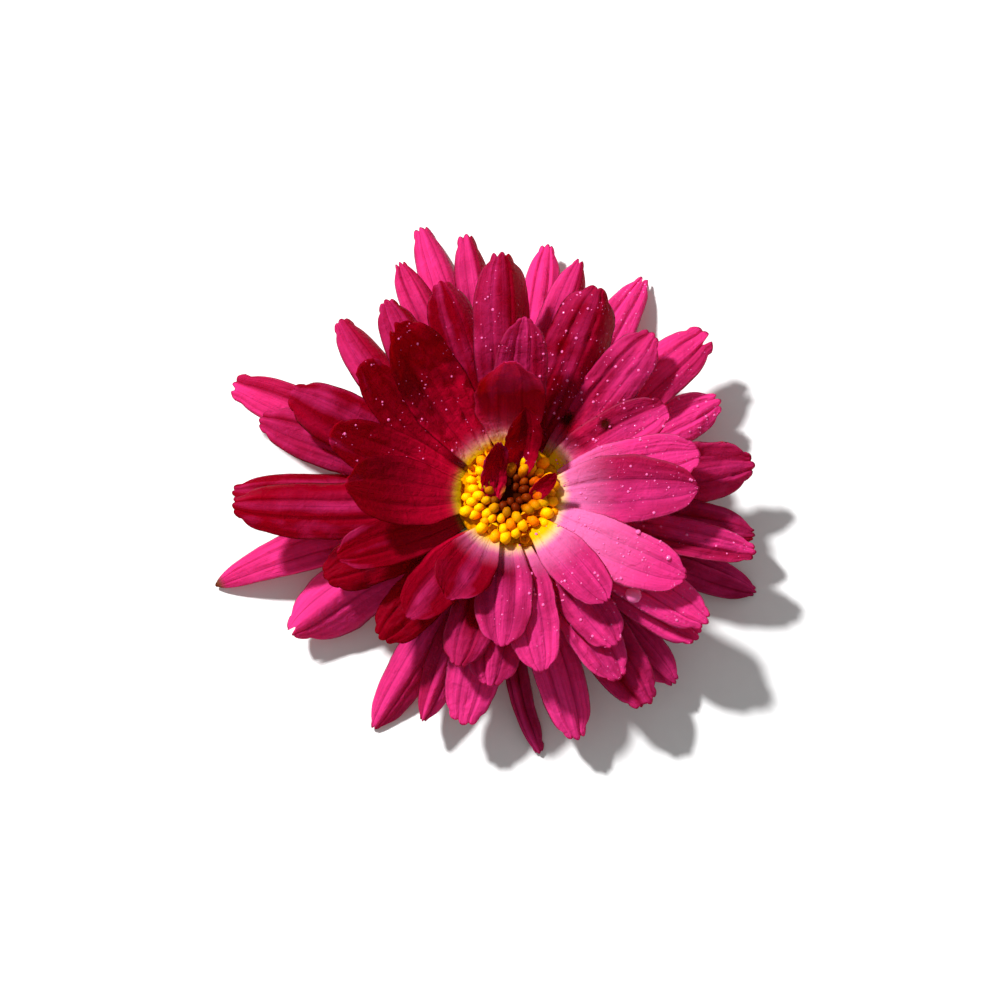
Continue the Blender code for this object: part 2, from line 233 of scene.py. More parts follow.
    veinBump = addNode(tree, "ShaderNodeBump", {"Height": veins, "Strength": 0.7, "Distance": look["veinDepth"] * mm})
    puckered = addNode(tree, "ShaderNodeBump", {"Height": wrinkles, "Strength": 0.8,
                                                "Distance": look["wrinkleDepth"] * mm, "Normal": veinBump})
    cellBump = addNode(tree, "ShaderNodeBump", {"Height": cells, "Strength": 0.45,
                                                "Distance": look["cellDepth"] * mm, "Normal": puckered})
    gloss = chain(tree, maths, cells, ("range", 0.0, 1.0, look["roughness"] - 0.08, look["roughness"] + 0.14))
    skin = addNode(tree, "ShaderNodeBsdfPrincipled", {"Base Color": colour, "Roughness": gloss, "Normal": cellBump,
                                                      "IOR": 1.45, "Specular IOR Level": 0.06,
                                                      "Specular Tint": paint["gloss"]})
    lit = addNode(tree, "ShaderNodeMix", {0: 0.75, 6: colour, 7: paint["through"]}, data_type="RGBA")
    back = addNode(tree, "ShaderNodeBsdfTranslucent", {"Color": lit.outputs[2], "Normal": cellBump})
    mixed = addNode(tree, "ShaderNodeMixShader", {0: look["letThrough"], 1: skin, 2: back})
    tree.links.new(mixed.outputs[0], output.inputs["Surface"])
    return material


petalMaterial = makePetalSkin()
print("petal skin ready")


def buildPetalTree():
    # The blade starts as a tube: its height becomes the length of the blade, its front and back
    # become the upper and lower face, so that it is one closed skin that thins to nothing at the rim.
    tree = newTree("grow a ray petal", {
        "Foot": "Vector", "Crest": "Vector", "Tip": "Vector", "Width": "Float", "Claw": "Float",
        "Widest": "Float", "Bluntness": "Float", "End Width": "Float", "Thickness": "Float",
        "Shoulder": "Float", "Roll": "Float", "End Roll": "Float", "Fold": "Float", "Rib": "Float",
        "Tip Curl": "Float", "Left Curl": "Float", "Right Curl": "Float", "Ripple": "Float", "Crumple": "Float",
        "Wobble": "Float", "Twist": "Float", "Teeth": "Float", "Tooth": "Float", "Cleft": "Float",
        "Cleft Place": "Float", "Seed": "Float", "Rows": "Int", "Columns": "Int", "Tone": "Float", "Glow": "Float",
        "Wither": "Float", "Yellow": "Float", "Left Shade": "Float", "Right Shade": "Float", "Warm": "Float",
        "Bruise": "Vector", "Bruise Size": "Float", "Skin": "Material",
    })
    given = addNode(tree, "NodeGroupInput").outputs
    tube = addNode(tree, "GeometryNodeMeshCylinder", {"Vertices": given["Columns"], "Side Segments": given["Rows"],
                                                      "Radius": 1.0, "Depth": 1.0}, fill_type="NONE")
    place = addNode(tree, "ShaderNodeSeparateXYZ", {0: addNode(tree, "GeometryNodeInputPosition")})
    s = chain(tree, maths, place.outputs["Z"], ("ADD", 0.5, clamped))
    u = chain(tree, maths, place.outputs["X"], ("ARCSINE",), ("MULTIPLY", 2 / math.pi))       # -1 to 1 across
    v = chain(tree, maths, u, ("MULTIPLY_ADD", 0.5, 0.5))       # 0 to 1 across
    uSquare = chain(tree, maths, u, ("MULTIPLY", u))

    # the midline and the three directions along it
    line = addNode(tree, "GeometryNodeCurveQuadraticBezier", {"Resolution": 40, "Start": given["Foot"],
                                                              "Middle": given["Crest"], "End": given["Tip"]})
    point = addNode(tree, "GeometryNodeSampleCurve", {"Curves": line, "Factor": s})
    ahead = point.outputs["Tangent"]
    side = chain(tree, vectorMaths, (0, 0, 1), ("CROSS_PRODUCT", ahead), ("NORMALIZE",))
    twist = chain(tree, maths, given["Twist"], ("MULTIPLY", s))
    side = addNode(tree, "ShaderNodeVectorRotate", {"Vector": side, "Axis": ahead, "Angle": twist})
    up = chain(tree, vectorMaths, ahead, ("CROSS_PRODUCT", side))

    # the outline, as a share of the widest
    opening = chain(tree, maths, s, ("DIVIDE", given["Widest"], clamped), ("MULTIPLY", math.pi / 2), ("SINE",),
                    ("POWER", 1.2), ("range", 0.0, 1.0, given["Claw"]))
    share = chain(tree, maths, s, ("range", given["Shoulder"]), ("POWER", given["Bluntness"]),
                  ("MULTIPLY_ADD", -1.0, 1.0, clamped), ("SQRT",), ("MAXIMUM", given["End Width"]),
                  ("MULTIPLY", opening))
    sStretch = chain(tree, maths, s, ("MULTIPLY", 3.6))
    edgeSpot = addNode(tree, "ShaderNodeCombineXYZ", {0: sStretch, 1: u, 2: given["Seed"]})
    edgeNoise = addNode(tree, "ShaderNodeTexNoise", {"Vector": edgeSpot, "Scale": 1.3, "Detail": 2.0})
    wobble = chain(tree, maths, edgeNoise, ("SUBTRACT", 0.5), ("MULTIPLY_ADD", given["Wobble"], 1.0))
    half = chain(tree, maths, given["Width"], ("MULTIPLY", share), ("MULTIPLY", wobble), ("MULTIPLY", 0.5))

    # across: an arc that may roll tighter towards the tip
    roll = chain(tree, maths, s, ("ease", 0.5), ("MULTIPLY_ADD", given["End Roll"], given["Roll"]), ("ADD", 0.0007))
    angle = chain(tree, maths, roll, ("MULTIPLY", u))
    bow = chain(tree, maths, half, ("DIVIDE", roll))
    sideways = chain(tree, maths, angle, ("SINE",), ("MULTIPLY", bow))
    lift = chain(tree, maths, angle, ("COSINE",), ("MULTIPLY_ADD", -1.0, 1.0), ("MULTIPLY", bow))

    # an edge that curls up on either side, left and right as seen from the foot
    for label, way in (("Left Curl", 1.0), ("Right Curl", -1.0)):
        lift = chain(tree, maths, u, ("MULTIPLY", way), ("range", 0.2), ("POWER", 2.0), ("MULTIPLY", given[label]),
                     ("MULTIPLY_ADD", half, lift))

    # a keel or valley fold, two narrow grooves, and ripples and creases that grow towards the edges
    lift = chain(tree, maths, uSquare, ("ADD", 0.004), ("SQRT",), ("MULTIPLY", given["Fold"]),
                 ("MULTIPLY_ADD", half, lift))
    ribs = chain(tree, maths, v, ("MULTIPLY", 3 * math.pi), ("SINE",), ("ABSOLUTE",), ("ease", 0.0, 0.6),
                 ("MULTIPLY", given["Rib"]))
    ribSpot = addNode(tree, "ShaderNodeCombineXYZ", {0: s, 1: given["Seed"], 2: v})
    ribNoise = addNode(tree, "ShaderNodeTexNoise", {"Vector": ribSpot, "Scale": 2.6, "Detail": 1.0})
    lift = chain(tree, maths, ribNoise, ("range", 0.3, 0.7, 0.25, 1.6), ("MULTIPLY", ribs),
                 ("MULTIPLY_ADD", share, lift))
    sWave = chain(tree, maths, s, ("MULTIPLY", 4.5))
    waveSpot = addNode(tree, "ShaderNodeCombineXYZ", {0: given["Seed"], 1: sWave, 2: u})
    waves = addNode(tree, "ShaderNodeTexNoise", {"Vector": waveSpot, "Scale": 1.0, "Detail": 2.5, "Roughness": 0.55})
    waves = chain(tree, maths, waves, ("SUBTRACT", 0.5), ("MULTIPLY", given["Ripple"]))
    lift = chain(tree, maths, uSquare, ("MULTIPLY_ADD", 0.6, 0.4), ("MULTIPLY", waves), ("MULTIPLY_ADD", share, lift))
    sCrease = chain(tree, maths, s, ("MULTIPLY", 3.0))
    creaseSpot = addNode(tree, "ShaderNodeCombineXYZ", {0: sCrease, 1: given["Seed"], 2: u})
    creases = addNode(tree, "ShaderNodeTexNoise", {"Vector": creaseSpot, "Scale": 2.2, "Detail": 2.0,
                                                   "Distortion": 0.6})
    lift = chain(tree, maths, creases, ("SUBTRACT", 0.5), ("ABSOLUTE",),
                 ("MULTIPLY", given["Crumple"]), ("MULTIPLY", -5.0), ("MULTIPLY_ADD", share, lift))
    lift = chain(tree, maths, s, ("range", 0.68), ("POWER", 2.0), ("MULTIPLY_ADD", given["Tip Curl"], lift))

    # thickness: full in the middle, rounded to nothing at the rim, the foot and the tip
    skinSide = chain(tree, maths, place.outputs["Y"], ("ABSOLUTE",), ("POWER", 0.45))
    skinSide = chain(tree, maths, place.outputs["Y"], ("SIGN",), ("MULTIPLY", skinSide))
    lift = chain(tree, maths, place.outputs["Z"], ("MULTIPLY", 2.0), ("POWER", 60.0),
                 ("MULTIPLY_ADD", -1.0, 1.0, clamped), ("SQRT",), ("MULTIPLY", skinSide),
                 ("MULTIPLY", given["Thickness"]), ("MULTIPLY_ADD", 0.5, lift))

    # small teeth at the tip, with the notches between them, and a deeper cleft where there is one
    teeth = chain(tree, maths, given["Teeth"], ("MULTIPLY", math.pi), ("MULTIPLY", v), ("SINE",), ("ABSOLUTE",),
                  ("POWER", 0.7), ("MULTIPLY_ADD", -1.0, 1.0))
    toothSpot = addNode(tree, "ShaderNodeCombineXYZ", {0: u, 1: given["Seed"]})
    toothNoise = addNode(tree, "ShaderNodeTexNoise", {"Vector": toothSpot, "Scale": 2.2, "Detail": 0.0})
    teeth = chain(tree, maths, toothNoise, ("MULTIPLY_ADD", 0.9, teeth), ("MULTIPLY", given["Tooth"]))
    back = chain(tree, maths, u, ("SUBTRACT", given["Cleft Place"]), ("ABSOLUTE",), ("ease", 0.0, 0.24, 1.0, 0.0),
                 ("MULTIPLY_ADD", given["Cleft"], teeth))
    back = chain(tree, maths, given["Width"], ("MULTIPLY", given["End Width"]), ("MULTIPLY", uSquare),
                 ("MULTIPLY_ADD", 0.24, back))
    back = chain(tree, maths, s, ("range", 0.86), ("POWER", 2.0), ("MULTIPLY", back), ("MULTIPLY", -1.0))

    spot = chain(tree, vectorMaths, side, ("MULTIPLY", sideways), ("ADD", point.outputs["Position"]))
    spot = chain(tree, vectorMaths, up, ("MULTIPLY", lift), ("ADD", spot))
    spot = chain(tree, vectorMaths, ahead, ("MULTIPLY", back), ("ADD", spot))

    shape = addNode(tree, "GeometryNodeStoreNamedAttribute", {
        "Geometry": tube, "Name": "PetalMap", "Value": addNode(tree, "ShaderNodeCombineXYZ", {0: v, 1: s})},
        data_type="FLOAT2", domain="CORNER")
    for label in ("Tone", "Glow", "Wither", "Yellow", "Seed", "Warm"):
        shape = addNode(tree, "GeometryNodeStoreNamedAttribute", {"Geometry": shape, "Name": label.lower(),
                                                                  "Value": given[label]})
    # one side of the blade painted dark red: painted shade on the side turned away from the lamp
    paintedSideShade = None
    for label, way in (("Left Shade", 1.0), ("Right Shade", -1.0)):
        part = chain(tree, maths, u, ("MULTIPLY", way), ("ease", 0.05, 0.4, 0.0, given[label]))
        paintedSideShade = addNode(tree, "ShaderNodeMath", {0: paintedSideShade, 1: part}, operation="ADD") if paintedSideShade else part
    shape = addNode(tree, "GeometryNodeStoreNamedAttribute", {"Geometry": shape, "Name": "paintedSideShade", "Value": paintedSideShade})
    shape = addNode(tree, "GeometryNodeSetPosition", {"Geometry": shape, "Position": spot})
    away = chain(tree, vectorMaths, addNode(tree, "GeometryNodeInputPosition"),
                 ("DISTANCE", given["Bruise"])).outputs["Value"]
    decay = chain(tree, maths, away, ("range", 0.0, given["Bruise Size"], 1.0, 0.0))
    shape = addNode(tree, "GeometryNodeStoreNamedAttribute", {"Geometry": shape, "Name": "bruise", "Value": decay})
    shape = addNode(tree, "GeometryNodeMergeByDistance", {"Geometry": shape, "Distance": 0.002 * mm})
    shape = addNode(tree, "GeometryNodeSetShadeSmooth", {"Geometry": shape})
    return closeTree(tree, shape, given["Skin"])


# What most petals of a kind share. Lengths in mm, rolls and folds as slopes or radians.
petalKinds = {
    "outer": {"Claw": 0.26, "Widest": 0.50, "Shoulder": 0.60, "Bluntness": 2.7, "Roll": -0.30, "End Roll": -0.1,
              "Rib": 0.34, "Ripple": 1.3, "Crumple": 0.14, "Tooth": 0.35, "End Width": 0.46, "Tone": 0.75},
    "middle": {"Claw": 0.28, "Widest": 0.48, "Shoulder": 0.58, "Bluntness": 2.7, "Roll": -0.22, "End Roll": -0.1,
               "Rib": 0.34, "Ripple": 1.1, "Crumple": 0.14, "Tooth": 0.28, "End Width": 0.45, "Tone": 0.5},
    "inner": {"Claw": 0.46, "Widest": 0.46, "Shoulder": 0.54, "Bluntness": 2.5, "Roll": 0.16, "End Roll": 0.2,
              "Rib": 0.22, "Ripple": 0.7, "Crumple": 0.06, "Tooth": 0.18, "End Width": 0.34, "Tone": 0.45},
    "centre": {"Claw": 0.42, "Widest": 0.50, "Shoulder": 0.56, "Bluntness": 2.0, "Roll": 0.6, "End Roll": 0.0,
               "Rib": 0.12, "Ripple": 0.5, "Crumple": 0.15, "Tooth": 0.2, "End Width": 0.2, "Tone": 0.15,
               "Yellow": 0.5, "Glow": 0.1},
}
petalCommon = {"Thickness": 0.16, "Fold": 0.0, "Tip Curl": 0.0, "Left Curl": 0.0, "Right Curl": 0.0, "Wobble": 0.22,
               "Twist": 0.0, "Teeth": 3.0, "Cleft": 0.0, "Cleft Place": 0.0, "Rows": 56, "Columns": 64, "Glow": 0.12,
               "Wither": 0.0, "Yellow": 6.6, "Left Shade": 0.0, "Right Shade": 0.0, "Warm": 0.0,
               "Bruise": (0, 0, -1), "Bruise Size": 1.0}
petalLengths = ("Width", "Thickness", "Rib", "Tip Curl", "Ripple", "Crumple", "Tooth", "Cleft", "Yellow", "Bruise Size")

# One row for each petal round the disc, close to the CAD model's: level on the receptacle, direction of
# the tip (0 is +X, 90 is +Y), reach and height of the tip, width, arch, sideways sweep.
petalRows = {
    "outer_01": (3, 156, 39.0, 6.0, 6.2, 1.0, 0.0), "outer_02": (1, 194, 38.9, 0.6, 6.3, 2.4, -1.2),
    "outer_03": (3, 210, 32.4, 5.0, 8.8, 1.5, -1.0), "outer_04": (0, 238, 33.0, 0.6, 5.8, 1.8, 0.0),
    "outer_05": (2, 248, 29.5, 5.0, 5.4, 1.5, 0.0), "outer_06": (3, 258, 28.9, 7.0, 7.0, 1.5, 0.0),
    "outer_07": (0, 277, 31.2, 0.6, 3.6, 1.8, -2.2), "outer_08": (2, 286, 31.1, 5.5, 6.2, 1.5, 0.0),
    "outer_09": (3, 304, 31.1, 8.0, 7.4, 1.5, 0.0), "outer_10": (1, 313, 30.8, 4.5, 5.6, 1.5, 0.0),
    "outer_11": (0, 342, 33.3, 0.6, 5.4, 1.8, 0.0), "outer_12": (4, 348, 31.7, 9.6, 5.2, 1.2, 0.0),
    "outer_13": (2, 353, 31.4, 6.6, 6.8, 1.5, 0.0), "outer_14": (3, 9, 31.5, 8.4, 7.4, 1.2, 0.0),
    "outer_15": (2, 27, 30.5, 6.0, 6.4, 1.2, 0.0), "outer_16": (3, 41, 33.5, 8.0, 7.2, 1.2, 0.0),
    "outer_17": (1, 60.5, 36.0, 0.8, 6.0, 2.2, 0.0), "outer_18": (4, 74, 33.2, 8.0, 5.6, 1.0, 0.6),
    "outer_19": (1, 82, 35.6, 2.5, 5.2, 1.2, 0.0), "outer_20": (3, 99, 36.2, 6.0, 5.2, 1.0, 0.0),
    "outer_21": (1, 107, 39.8, 0.6, 5.2, 2.2, 0.0), "outer_22": (3, 114, 35.1, 6.0, 5.0, 1.0, 0.0),
    "outer_23": (4, 178, 35.3, 8.5, 5.6, 1.2, 0.0),
    "middle_01": (4, 133, 31.5, 12.0, 5.6, 0.8, 1.5), "middle_02": (5, 122, 29.6, 14.0, 6.0, 0.6, 0.8),
    "middle_03": (6, 108, 28.5, 15.5, 6.6, 0.3, 0.0), "middle_04": (7, 92, 30.4, 18.5, 7.2, 0.8, 0.3),
    "middle_05": (6, 67, 28.7, 16.0, 8.0, 0.6, 0.0), "middle_06": (5, 49, 27.7, 13.5, 7.0, 0.8, 0.0),
    "middle_07": (6, 327, 29.4, 13.0, 6.5, 1.8, 0.0), "middle_08": (5, 323, 29.6, 11.2, 6.2, 0.8, 0.0),
    "middle_09": (6, 305, 23.1, 13.3, 6.4, 1.0, 0.0), "middle_10": (5, 301, 26.7, 11.2, 6.6, 1.0, 0.0),
    "middle_11": (5, 264, 23.9, 11.2, 7.2, 1.0, 0.0), "middle_12": (6, 253, 22.5, 13.3, 6.2, 1.0, 0.0),
    "middle_13": (6, 228, 24.3, 12.3, 6.9, 1.0, 0.0), "middle_14": (5, 203, 25.4, 11.0, 7.0, 1.0, 0.0),
    "middle_15": (6, 182, 34.7, 13.6, 7.4, 0.8, 0.8), "middle_16": (4, 162, 33.3, 11.0, 6.8, 0.8, 0.0),
    "middle_17": (6, 155, 30.5, 15.0, 7.6, 0.4, 0.0),
    "inner_01": (7, 12.5, 24.3, 14.4, 7.4, 1.2, 0.0), "inner_02": (8, 1.8, 23.6, 15.1, 8.7, 1.0, 0.0),
    "inner_03": (9, 334, 24.3, 15.8, 7.3, 1.2, -0.9), "inner_04": (10, 311, 18.4, 16.4, 6.0, 0.6, 0.0),
    "inner_05": (7, 280, 22.6, 13.8, 6.8, 0.8, 0.0), "inner_06": (8, 267, 19.3, 15.2, 7.2, 0.4, 0.0),
    "inner_07": (10, 240, 15.8, 17.6, 7.6, -0.8, 0.0), "inner_08": (8, 231, 20.3, 16.0, 6.6, 0.4, 0.0),
    "inner_09": (7, 202, 23.0, 18.5, 6.2, -0.2, 0.0), "inner_10": (9, 181, 20.2, 23.0, 8.8, -1.0, 0.0),
    "inner_11": (8, 164, 23.1, 22.0, 7.0, -0.8, 0.0), "inner_12": (7, 139, 24.0, 20.5, 6.0, -0.6, 1.2),
    "inner_13": (9, 126, 24.2, 25.0, 8.6, -1.2, 0.0), "inner_14": (10, 90, 14.7, 25.6, 9.0, -1.4, 0.0),
    "inner_15": (8, 85, 21.1, 22.0, 6.6, -0.4, 0.0), "inner_16": (6, 30, 22.8, 13.2, 6.8, 0.6, 0.0),
}
# The ones that stand up in the disc: foot and tip from the axis, width, arch, sweep.
centreRows = {
    "centre_1": ((0.4, 2.2, 13.0), (1.9, 10.2, 19.0), 5.0, -0.5, -0.5),
    "centre_2": ((-2.5, -1.5, 13.0), (-1.5, 6.0, 18.2), 3.6, -0.4, 0.0),
    "centre_3": ((2.2, -0.9, 13.2), (5.8, 1.9, 18.6), 2.5, -0.3, 0.0),
}
# How single petals differ from their kind.
petalHabits = {
    "outer_01": {"Right Shade": 0.65, "End Width": 0.6, "Cleft": 0.5, "Cleft Place": 0.2, "Right Curl": 0.5,
                 "Tone": 0.7},
    "outer_02": {"End Width": 0.08, "Bluntness": 1.35, "Shoulder": 0.46, "Tooth": 0.1, "Wither": 0.75,
                 "Tone": 0.95},
    "outer_03": {"Left Shade": 0.35, "Cleft": 1.3, "Fold": -0.9, "Roll": -0.1, "Tooth": 0.15, "Tone": 1.3,
                 "End Width": 0.42},
    "outer_04": {"Left Shade": 0.65, "End Width": 0.26, "Bluntness": 2.2, "Tone": 0.85, "Fold": -0.5, "Tooth": 0.5,
                 "Teeth": 2.0},
    "outer_05": {"Right Shade": 0.5, "End Width": 0.2, "Bluntness": 1.7, "Fold": -0.7, "Tone": 0.6, "Tooth": 0.2},
    "outer_06": {"End Width": 0.6, "Tooth": 0.6, "Tone": 0.95, "Crumple": 0.22},
    "outer_07": {"End Width": 0.5, "Bluntness": 3.0, "Roll": -1.2, "Tone": 0.5, "Ripple": 1.6, "Twist": 0.5,
                 "Left Curl": -0.5, "Tooth": 0.2},
    "outer_08": {"End Width": 0.5, "Tooth": 0.45, "Rib": 0.45, "Fold": -0.3, "Tone": 1.3},
    "outer_09": {"End Width": 0.55, "Cleft": 0.5, "Cleft Place": -0.2, "Teeth": 4.0, "Tone": 0.32, "Crumple": 0.35},
    "outer_10": {"Tone": 0.6, "Crumple": 0.25, "Right Curl": -0.4, "End Width": 0.36},
    "outer_11": {"Tone": 0.6, "End Width": 0.3, "Crumple": 0.2, "Fold": -0.2},
    "outer_12": {"Right Shade": 0.6, "End Width": 0.5, "Ripple": 2.0, "Crumple": 0.4, "Right Curl": 0.5,
                 "Tone": 0.85},
    "outer_13": {"Right Shade": 0.6, "End Width": 0.3, "Tone": 0.5, "Crumple": 0.3, "Right Curl": -0.7},
    "outer_14": {"Left Shade": 0.4, "Ripple": 3.0, "Crumple": 0.5, "Left Curl": 0.6, "Right Curl": -0.6, "Tone": 0.5},
    "outer_15": {"End Width": 0.5, "Tooth": 0.6, "Tone": 1.3, "Crumple": 0.2},
    "outer_16": {"Right Shade": 0.45, "Cleft": 1.3, "Cleft Place": -0.3, "End Width": 0.6, "Tone": 1.0,
                 "Tooth": 0.2, "Fold": 0.2},
    "outer_17": {"End Width": 0.34, "Teeth": 2.0, "Tooth": 0.9, "Bluntness": 2.0, "Shoulder": 0.5, "Tone": 1.0},
    "outer_18": {"Right Shade": 0.8, "Tone": 0.7, "Tooth": 0.5, "Teeth": 2.0, "End Width": 0.3, "Bluntness": 2.0,
                 "Right Curl": -0.9, "Left Curl": -0.3},
    "outer_19": {"End Width": 0.42, "Tone": 1.05, "Fold": -0.15},
    "outer_20": {"Right Shade": 0.8, "Tone": 0.55, "Tooth": 0.4, "End Width": 0.5, "Right Curl": -1.3},
    "outer_21": {"Right Shade": 0.45, "End Width": 0.5, "Tooth": 0.45, "Tone": 0.95, "Right Curl": -0.4},
    "outer_22": {"Right Shade": 0.55, "End Width": 0.36, "Tooth": 0.5, "Tone": 0.65, "Right Curl": -0.5},
    "outer_23": {"Tone": 0.2},
    "middle_01": {"Right Shade": 0.7, "Right Curl": -0.9, "End Width": 0.5},
    "middle_02": {"Tone": 0.35, "Right Curl": -0.6},
    "middle_03": {"Right Shade": 0.6, "Tone": 0.25, "Right Curl": -0.7, "Fold": 0.15},
    "middle_04": {"Right Shade": 0.9, "Tooth": 0.6, "End Width": 0.44, "Right Curl": -1.4, "Tone": 0.24},
    "middle_05": {"Right Shade": 0.8, "Ripple": 1.8, "Crumple": 0.45, "Teeth": 2.0, "Tooth": 0.4, "Tone": 0.3,
                  "Right Curl": -0.9},
    "middle_06": {"Warm": 0.55, "Tone": 0.6, "Glow": 0.5, "Yellow": 8.0, "Crumple": 0.25,
                  "Bruise": (7.2, 10.3, 11.2), "Bruise Size": 2.1},
    "middle_07": {"Tone": 1.25, "Tooth": 0.5, "End Width": 0.5},
    "middle_08": {"Tone": 0.8, "Tooth": 0.5, "End Width": 0.5},
    "middle_09": {"Tone": 0.75, "Crumple": 0.3},
    "middle_10": {"Tone": 0.8, "Right Curl": 0.4, "Crumple": 0.3},
    "middle_11": {"Tone": 0.55, "Crumple": 0.18},
    "middle_12": {"Tone": 0.28, "Crumple": 0.18, "Right Curl": -0.4},
    "middle_13": {"Tone": -0.12, "Crumple": 0.25, "Tooth": 0.4, "End Width": 0.5},
    "middle_14": {"Tone": -0.42, "Crumple": 0.22, "Tooth": 0.25, "End Width": 0.55},
    "middle_15": {"Warm": 0.2, "Right Shade": 0.6, "Tone": 0.15, "End Width": 0.4, "Right Curl": -0.35,
                  "Crumple": 0.15},
    "middle_16": {"Tone": 0.3, "Crumple": 0.15},
    "middle_17": {"Left Shade": 0.7, "Tone": 0.2, "End Width": 0.5},
    "inner_01": {"Tone": 1.2, "Glow": 1.5, "Tooth": 0.1, "End Width": 0.5, "Yellow": 6.0},
    "inner_02": {"Left Shade": 0.6, "Tone": 0.7, "Glow": 1.1, "Yellow": 6.1, "Left Curl": 0.1, "End Width": 0.16,
                 "Bluntness": 1.9, "Shoulder": 0.46, "Tooth": 0.2},
    "inner_03": {"Tone": 1.15, "Glow": 2.2, "Yellow": 5.9},
    "inner_04": {"Tone": 0.8, "Glow": 0.8, "End Width": 0.26, "Tooth": 0.3},
    "inner_05": {"Tone": 0.95, "Glow": 0.7, "Yellow": 6.4},
    "inner_06": {"Tone": 0.6, "Glow": 0.5, "Yellow": 6.3},
    "inner_07": {"Warm": 0.15, "Roll": 0.5, "End Roll": 0.4, "Tone": 0.2, "Right Shade": 0.8, "Glow": 0.5,
                 "Tooth": 0.2, "Yellow": 6.1},
    "inner_08": {"Warm": 0.5, "Right Shade": 0.6, "Tone": 0.1},
    "inner_09": {"Warm": 0.5, "Tone": 0.1, "Yellow": 6.7},
    "inner_10": {"Warm": 0.5, "Tone": -0.05, "Left Curl": 0.15, "Yellow": 6.7},
    "inner_11": {"Warm": 0.75, "Tone": -0.05, "Crumple": 0.15, "End Width": 0.6, "Tooth": 0.1, "Yellow": 6.8},
    "inner_12": {"Warm": 0.6, "Tone": -0.1, "Glow": 0.3, "Crumple": 0.25, "End Width": 0.6, "Tooth": 0.1},
    "inner_13": {"Warm": 0.75, "Right Shade": 0.7, "Tone": -0.35, "Ripple": 1.6, "Crumple": 0.35, "Rib": 0.5,
                 "Glow": 0.35, "Yellow": 7.0, "Left Curl": 0.5, "Tooth": 0.5, "Cleft": 0.6, "Cleft Place": 0.3,
                 "End Width": 0.45},
    "inner_14": {"Warm": 0.9, "Tone": 0.3, "Glow": 0.45, "Yellow": 7.0, "Crumple": 0.12, "Roll": 0.3,
                 "End Roll": 0.5, "End Width": 0.5, "Claw": 0.36},
    "inner_15": {"Warm": 0.4, "Right Shade": 0.5, "Tone": 0.55, "Glow": 0.35, "Yellow": 7.4, "Crumple": 0.2,
                 "Fold": 0.25, "Right Curl": -0.3},
    "inner_16": {"Left Shade": 0.7, "Warm": 0.45, "Roll": 0.3, "End Roll": 0.3, "Tone": 0.85, "Glow": 0.45,
                 "Crumple": 0.2, "Left Curl": 0.1, "End Width": 0.55, "Tooth": 0.1, "Yellow": 8.0,
                 "Bruise": (11.9, 9.1, 13.7), "Bruise Size": 1.6},
    "centre_1": {"Warm": 0.4, "Fold": 0.5, "Bluntness": 1.8, "Tone": -0.3, "Crumple": 0.2, "Wobble": 0.5},
    "centre_2": {"Warm": 0.9, "Ripple": 1.6, "Crumple": 0.4, "Tone": 0.05, "Twist": 0.6, "Wobble": 0.6,
                 "End Width": 0.4},
    "centre_3": {"Warm": 0.6, "Tone": -0.05, "Roll": 1.0, "End Width": 0.4},
}
# The claws that reach in over the rim of the disc: how far in and up their feet start, mm.
deepFeet = {
    "inner_01": (1.8, 1.4), "inner_02": (2.0, 1.6), "inner_03": (2.0, 1.4), "inner_04": (1.8, 1.4),
    "inner_05": (0.9, 1.6), "inner_06": (1.0, 1.6), "inner_07": (1.2, 1.3), "inner_08": (0.6, 1.0),
    "inner_09": (0.4, 1.0), "inner_10": (0.8, 1.4), "inner_11": (0.8, 1.4), "inner_12": (0.4, 1.0),
    "inner_13": (0.6, 1.4), "inner_14": (0.8, 1.4), "inner_15": (1.0, 1.4), "inner_16": (1.8, 2.2),
}


def midline(foot, tip, arch, sweep):
    # the control point of the curve from foot to tip, as the CAD model works it out
    reach = tip - foot
    span, rise = math.hypot(reach.x, reach.y), reach.z
    out = Vector((reach.x, reach.y, 0)) / span
    left = Vector((-out.y, out.x, 0))
    above = (Vector((0, 0, span)) - out * rise) / math.hypot(span, rise)
    return foot + reach / 2 + above * (2 * arch) + left * (2 * sweep)


def growPetal(name, tree, foot, tip, width, arch, sweep, number):
    kind = name.split("_")[0]
    values = {**petalCommon, **petalKinds[kind], **petalHabits.get(name, {}), "Width": width}
    values = {key: value * mm if key in petalLengths else value for key, value in values.items()}
    values["Bruise"] = axis + Vector(values["Bruise"]) * mm
    values.update({"Foot": axis + foot * mm, "Crest": axis + midline(foot, tip, arch, sweep) * mm,
                   "Tip": axis + tip * mm, "Seed": 1.7 * number, "Skin": petalMaterial})
    petal = growPiece("ray_" + name, tree, values)
    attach(petal, "root")
    if "petal_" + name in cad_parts:
        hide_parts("petal_" + name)
    return petal


petalTree = buildPetalTree()
petals = {}
for number, (name, (level, azimuth, reach, height, width, arch, sweep)) in enumerate(petalRows.items()):
    out = Vector((math.cos(math.radians(azimuth)), math.sin(math.radians(azimuth)), 0))
    seat = flower["seatLow"] + flower["seatPitch"] * level
    foot = out * (flower["seatRadius"] - flower["seatTaper"] * (seat - flower["seatLow"])) + Vector((0, 0, seat))
    inwards, upwards = deepFeet.get(name, (0, 0))
    foot += Vector((0, 0, upwards)) - out * inwards
    tip = out * reach + Vector((0, 0, height))
    petals[name] = growPetal(name, petalTree, foot, tip, width, arch, sweep, number)
for number, (name, (foot, tip, width, arch, sweep)) in enumerate(centreRows.items()):
    petals[name] = growPetal(name, petalTree, Vector(foot), Vector(tip), width, arch, sweep, 70 + number)
print("petals grown:", len(petals), "with", sum(len(p.data.polygons) for p in petals.values()), "faces")
